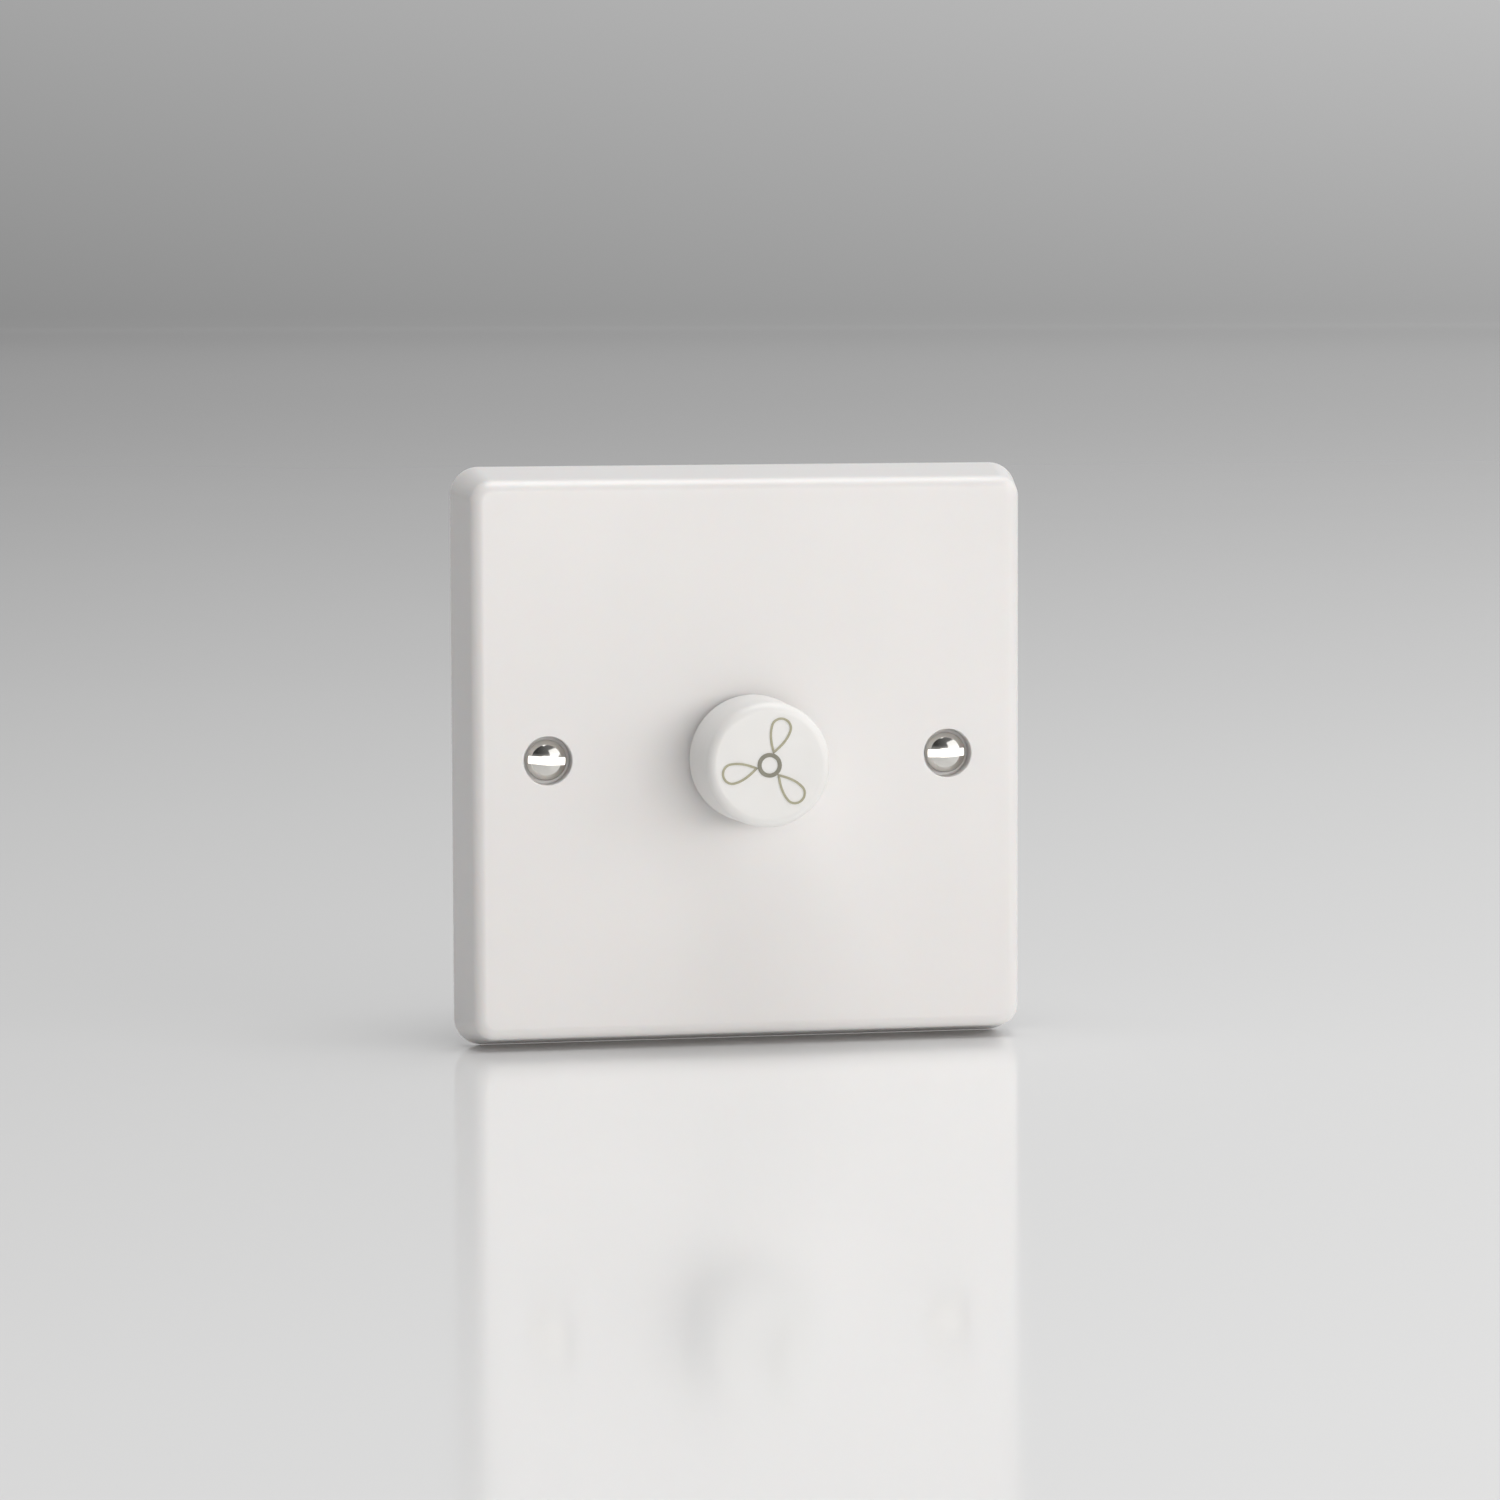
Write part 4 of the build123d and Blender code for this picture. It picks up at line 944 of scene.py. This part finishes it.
# %% Edge widths in mm
EDGE_WIDTHS = {
    "module_case": 0.3,
    "heatsink_plate": 0.15,
    "bush_nut": 0.25,
    "lock_washer": 0.06,
    "pot_housing": 0.2,
    "switch_base": 0.15,
    "switch_cover": 0.2,
    "track_wafer": 0.05,
    "pot_terminals": 0.05,
    "switch_contacts": 0.05,
    "moving_contact": 0.05,
    "wiper_contact": 0.03,
    "wiper_rotor": 0.15,
    "switch_plunger": 0.12,
    "circuit_board": 0.08,
    "triac_body": 0.15,
    "triac_tab": 0.06,
    "triac_screw": 0.1,
    "insulating_pad": 0.05,
    "suppression_capacitor": 0.25,
    "timing_capacitor": 0.3,
    "fuse_caps": 0.15,
    "fuse_clips": 0.05,
    "terminal_clamps": 0.15,
    "terminal_screws": 0.1,
    "case_screws": 0.08,
    "retaining_clip": 0.08,
    "knob_spring": 0.05,
    "spindle": 0.12,
    "pot_bush": 0.15,
    "resistors": 0.0,
    "trigger_diode": 0.0,
    "fuse_tube": 0.0,
    "choke_core": 0.0,
    "choke_winding": 0.0,
    "solder_joints": 0.0,
    "resistive_track": 0.0,
    "return_spring": 0.0,
    "fan_symbol": 0.0,
}
print(sum(width > 0 for width in EDGE_WIDTHS.values()), "of", len(EDGE_WIDTHS), "get an edge")

# %% [markdown]
# A solid arrives as loose triangles, and a bevel needs whole faces. So a copy is merged, flat
# triangles are dissolved into one face, and a Bevel modifier rounds every corner sharper than the
# given angle. The solid itself stays as it is and is replaced by its copy.

# %% Clean copies with soft edges
FLAT_ANGLE = math.radians(0.5)
BROKEN_ANGLE = math.radians(35)


def clean_copy(node, edge_mm):
    """A merged copy of a node's mesh, with its edges broken."""
    mesh = bmesh.new()
    mesh.from_mesh(frame["nodes"][node].data)
    bmesh.ops.remove_doubles(mesh, verts=mesh.verts, dist=WELD)
    bmesh.ops.dissolve_limit(mesh, angle_limit=FLAT_ANGLE, verts=mesh.verts, edges=mesh.edges)
    obj = as_object(mesh, f"soft_{node}")
    if edge_mm:
        edges = obj.modifiers.new("broken edges", "BEVEL")
        edges.width = edge_mm * MM
        edges.segments = 2
        edges.limit_method = "ANGLE"
        edges.angle_limit = BROKEN_ANGLE
    return obj


for node, edge_mm in EDGE_WIDTHS.items():
    piece = finish_piece(clean_copy(node, edge_mm), node, sharp_deg=32)
    if node == "return_spring":
        spring = piece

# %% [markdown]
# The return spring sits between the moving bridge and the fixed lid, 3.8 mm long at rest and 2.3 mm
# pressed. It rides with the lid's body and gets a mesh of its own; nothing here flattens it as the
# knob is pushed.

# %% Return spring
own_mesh(spring)

# %% [markdown]
# The camera stands where the photographer stood: about 0.8 m away with a long lens, a little to
# the left of the plate and just above its middle. The pose was found by fitting a model of the
# plate to the picture, so it is written as angles and a distance rather than set by eye.

# %% Camera
CAMERA_AT = Vector((-0.1562, -0.7887, 0.0659))
CAMERA_YAW = math.radians(11.35)
CAMERA_PITCH = math.radians(-4.669)
CAMERA_ROLL = math.radians(-0.2)
LENS_MM, SENSOR_MM = 129.3, 36
NEAREST, FARTHEST = 0.01, 200

forward = Vector(
    (
        math.sin(CAMERA_YAW) * math.cos(CAMERA_PITCH),
        math.cos(CAMERA_YAW) * math.cos(CAMERA_PITCH),
        math.sin(CAMERA_PITCH),
    )
)
right = forward.cross(Vector((0, 0, 1))).normalized()
level_up = right.cross(forward)
right_rolled = right * math.cos(CAMERA_ROLL) + level_up * math.sin(CAMERA_ROLL)
up_rolled = level_up * math.cos(CAMERA_ROLL) - right * math.sin(CAMERA_ROLL)
turned_axes = Matrix((right_rolled, up_rolled, -forward)).transposed()

camera_data = bpy.data.cameras.new("camera")
camera_data.lens = LENS_MM
camera_data.sensor_width = SENSOR_MM
camera_data.clip_start = NEAREST
camera_data.clip_end = FARTHEST
camera = bpy.data.objects.new("camera", camera_data)
camera.matrix_world = Matrix.Translation(CAMERA_AT) @ turned_axes.to_4x4()
bpy.context.scene.collection.objects.link(camera)
bpy.context.scene.camera = camera
print("camera", [round(v, 3) for v in CAMERA_AT], "m from the plate's back")

# %% [markdown]
# The plate stands on its lower edge on a pale glossy table. Seen at this low angle a glossy
# sheet reflects more and more of the room towards the horizon, so a plain flat sheet under a
# greyer room gives the smooth fade of the photograph by itself. A little roughness blurs the
# plate's reflection. It would also blur the horizon into a line, so it fades out far away, where
# the sheet then mirrors the very tone that it meets.

# %% Table
TABLE_HALF = 90.0
ROUGH_TO_M, SMOOTH_FROM_M = 8, 40
SHEET_ROUGHNESS = 0.1

table_mesh = bmesh.new()
place = Matrix.Translation((0, 0, FLOOR_Z))
bmesh.ops.create_grid(table_mesh, x_segments=1, y_segments=1, size=TABLE_HALF, matrix=place)
table = as_object(table_mesh, "table")
sheet, tree, shader, where = start_material("glossy white sheet", "#F1F1F1", IOR=1.5)
colour_drift(tree, shader, where, "#F0F0F0", "#F3F3F3", size_mm=400)
away = add(tree, "ShaderNodeVectorMath", {"operation": "LENGTH"}, {0: where})
smoother = add(
    tree,
    "ShaderNodeMapRange",
    {"From Min": ROUGH_TO_M, "From Max": SMOOTH_FROM_M, "To Min": SHEET_ROUGHNESS, "To Max": 0.0},
    {"Value": away.outputs["Value"]},
)
tree.links.new(smoother.outputs["Result"], shader.inputs["Roughness"])
dress(table, sheet)
print("the table lies", round(FLOOR_Z / MM, 1), "mm from the knob's axis")

# %% [markdown]
# Three soft lights make the plain studio light: a large key from the right, a low wide one near
# the camera, and one above. They face the middle of the plate, so only their places are chosen.
# They stand more than a metre off, because a near lamp would make one side of the face brighter.

# %% Lights


def soft_light(name, at, width, height, watts, colour="#FFFFFF"):
    """An area light that faces the middle of the plate."""
    data = bpy.data.lights.new(name, "AREA")
    data.color = hex_colour(colour)[:3]
    data.shape = "RECTANGLE"
    data.size = width
    data.size_y = height
    data.energy = watts
    lamp = bpy.data.objects.new(name, data)
    lamp.location = at
    lamp.visible_camera = False
    lamp.rotation_euler = (-Vector(at)).to_track_quat("-Z", "Y").to_euler()
    bpy.context.scene.collection.objects.link(lamp)
    print("light", name, "of", watts, "W")


soft_light("key", (1.45, -1.4, 0.7), width=2.1, height=1.6, watts=12.5)
soft_light("front", (0.3, -1.9, 0.15), width=1.7, height=0.5, watts=10.3, colour="#FFFAF4")
soft_light("top", (0.15, -0.3, 2.1), width=1.6, height=1.6, watts=23.0)

# %% [markdown]
# The room is a plain grey, lighter on the right and upwards, and it shows in the table's fade. Its
# ceiling is dark on the photographer's side, which only the bright screws show: polished metal
# looks like metal when it has something dark to reflect. Each range reads one axis of the view
# direction, and gives a tone that runs evenly between two limits of it.

# %% Room
RANGES = {
    "horizon": ("X", -0.1, 0.45, 0.21, 0.42),
    "rise": ("Z", 0.0, 0.1, 1.0, 1.65),
    "ceiling": ("X", -0.5, 0.5, 0.055, 0.22),
    "height": ("Z", 0.2, 0.4, 0.0, 1.0),
    "in_front": ("Y", 0.0, -0.4, 0.0, 1.0),
}

world = bpy.data.worlds.new("studio")
world.use_nodes = True
bpy.context.scene.world = world
room = world.node_tree
direction = add(room, "ShaderNodeTexCoord").outputs["Generated"]
axes = add(room, "ShaderNodeSeparateXYZ", links={"Vector": direction}).outputs
tones = {}
for name, (axis, low, high, low_tone, high_tone) in RANGES.items():
    limits = {"From Min": low, "From Max": high, "To Min": low_tone, "To Max": high_tone}
    tones[name] = add(room, "ShaderNodeMapRange", limits, {"Value": axes[axis]}).outputs["Result"]
times = {"operation": "MULTIPLY"}
walls = add(room, "ShaderNodeMath", times, {0: tones["horizon"], 1: tones["rise"]})
share = add(room, "ShaderNodeMath", times, {0: tones["height"], 1: tones["in_front"]})
tone = add(
    room,
    "ShaderNodeMix",
    {"data_type": "FLOAT"},
    {"Factor": share.outputs["Value"], "A": walls.outputs["Value"], "B": tones["ceiling"]},
)
room.links.new(tone.outputs["Result"], room.nodes["Background"].inputs["Color"])
room.nodes["Background"].inputs["Strength"].default_value = 1.0
print("the room has", len(tones), "ranges")

# %% [markdown]
# Standard view transform keeps a written colour as it is.

# %% Finish
bpy.context.scene.view_settings.view_transform = "Standard"
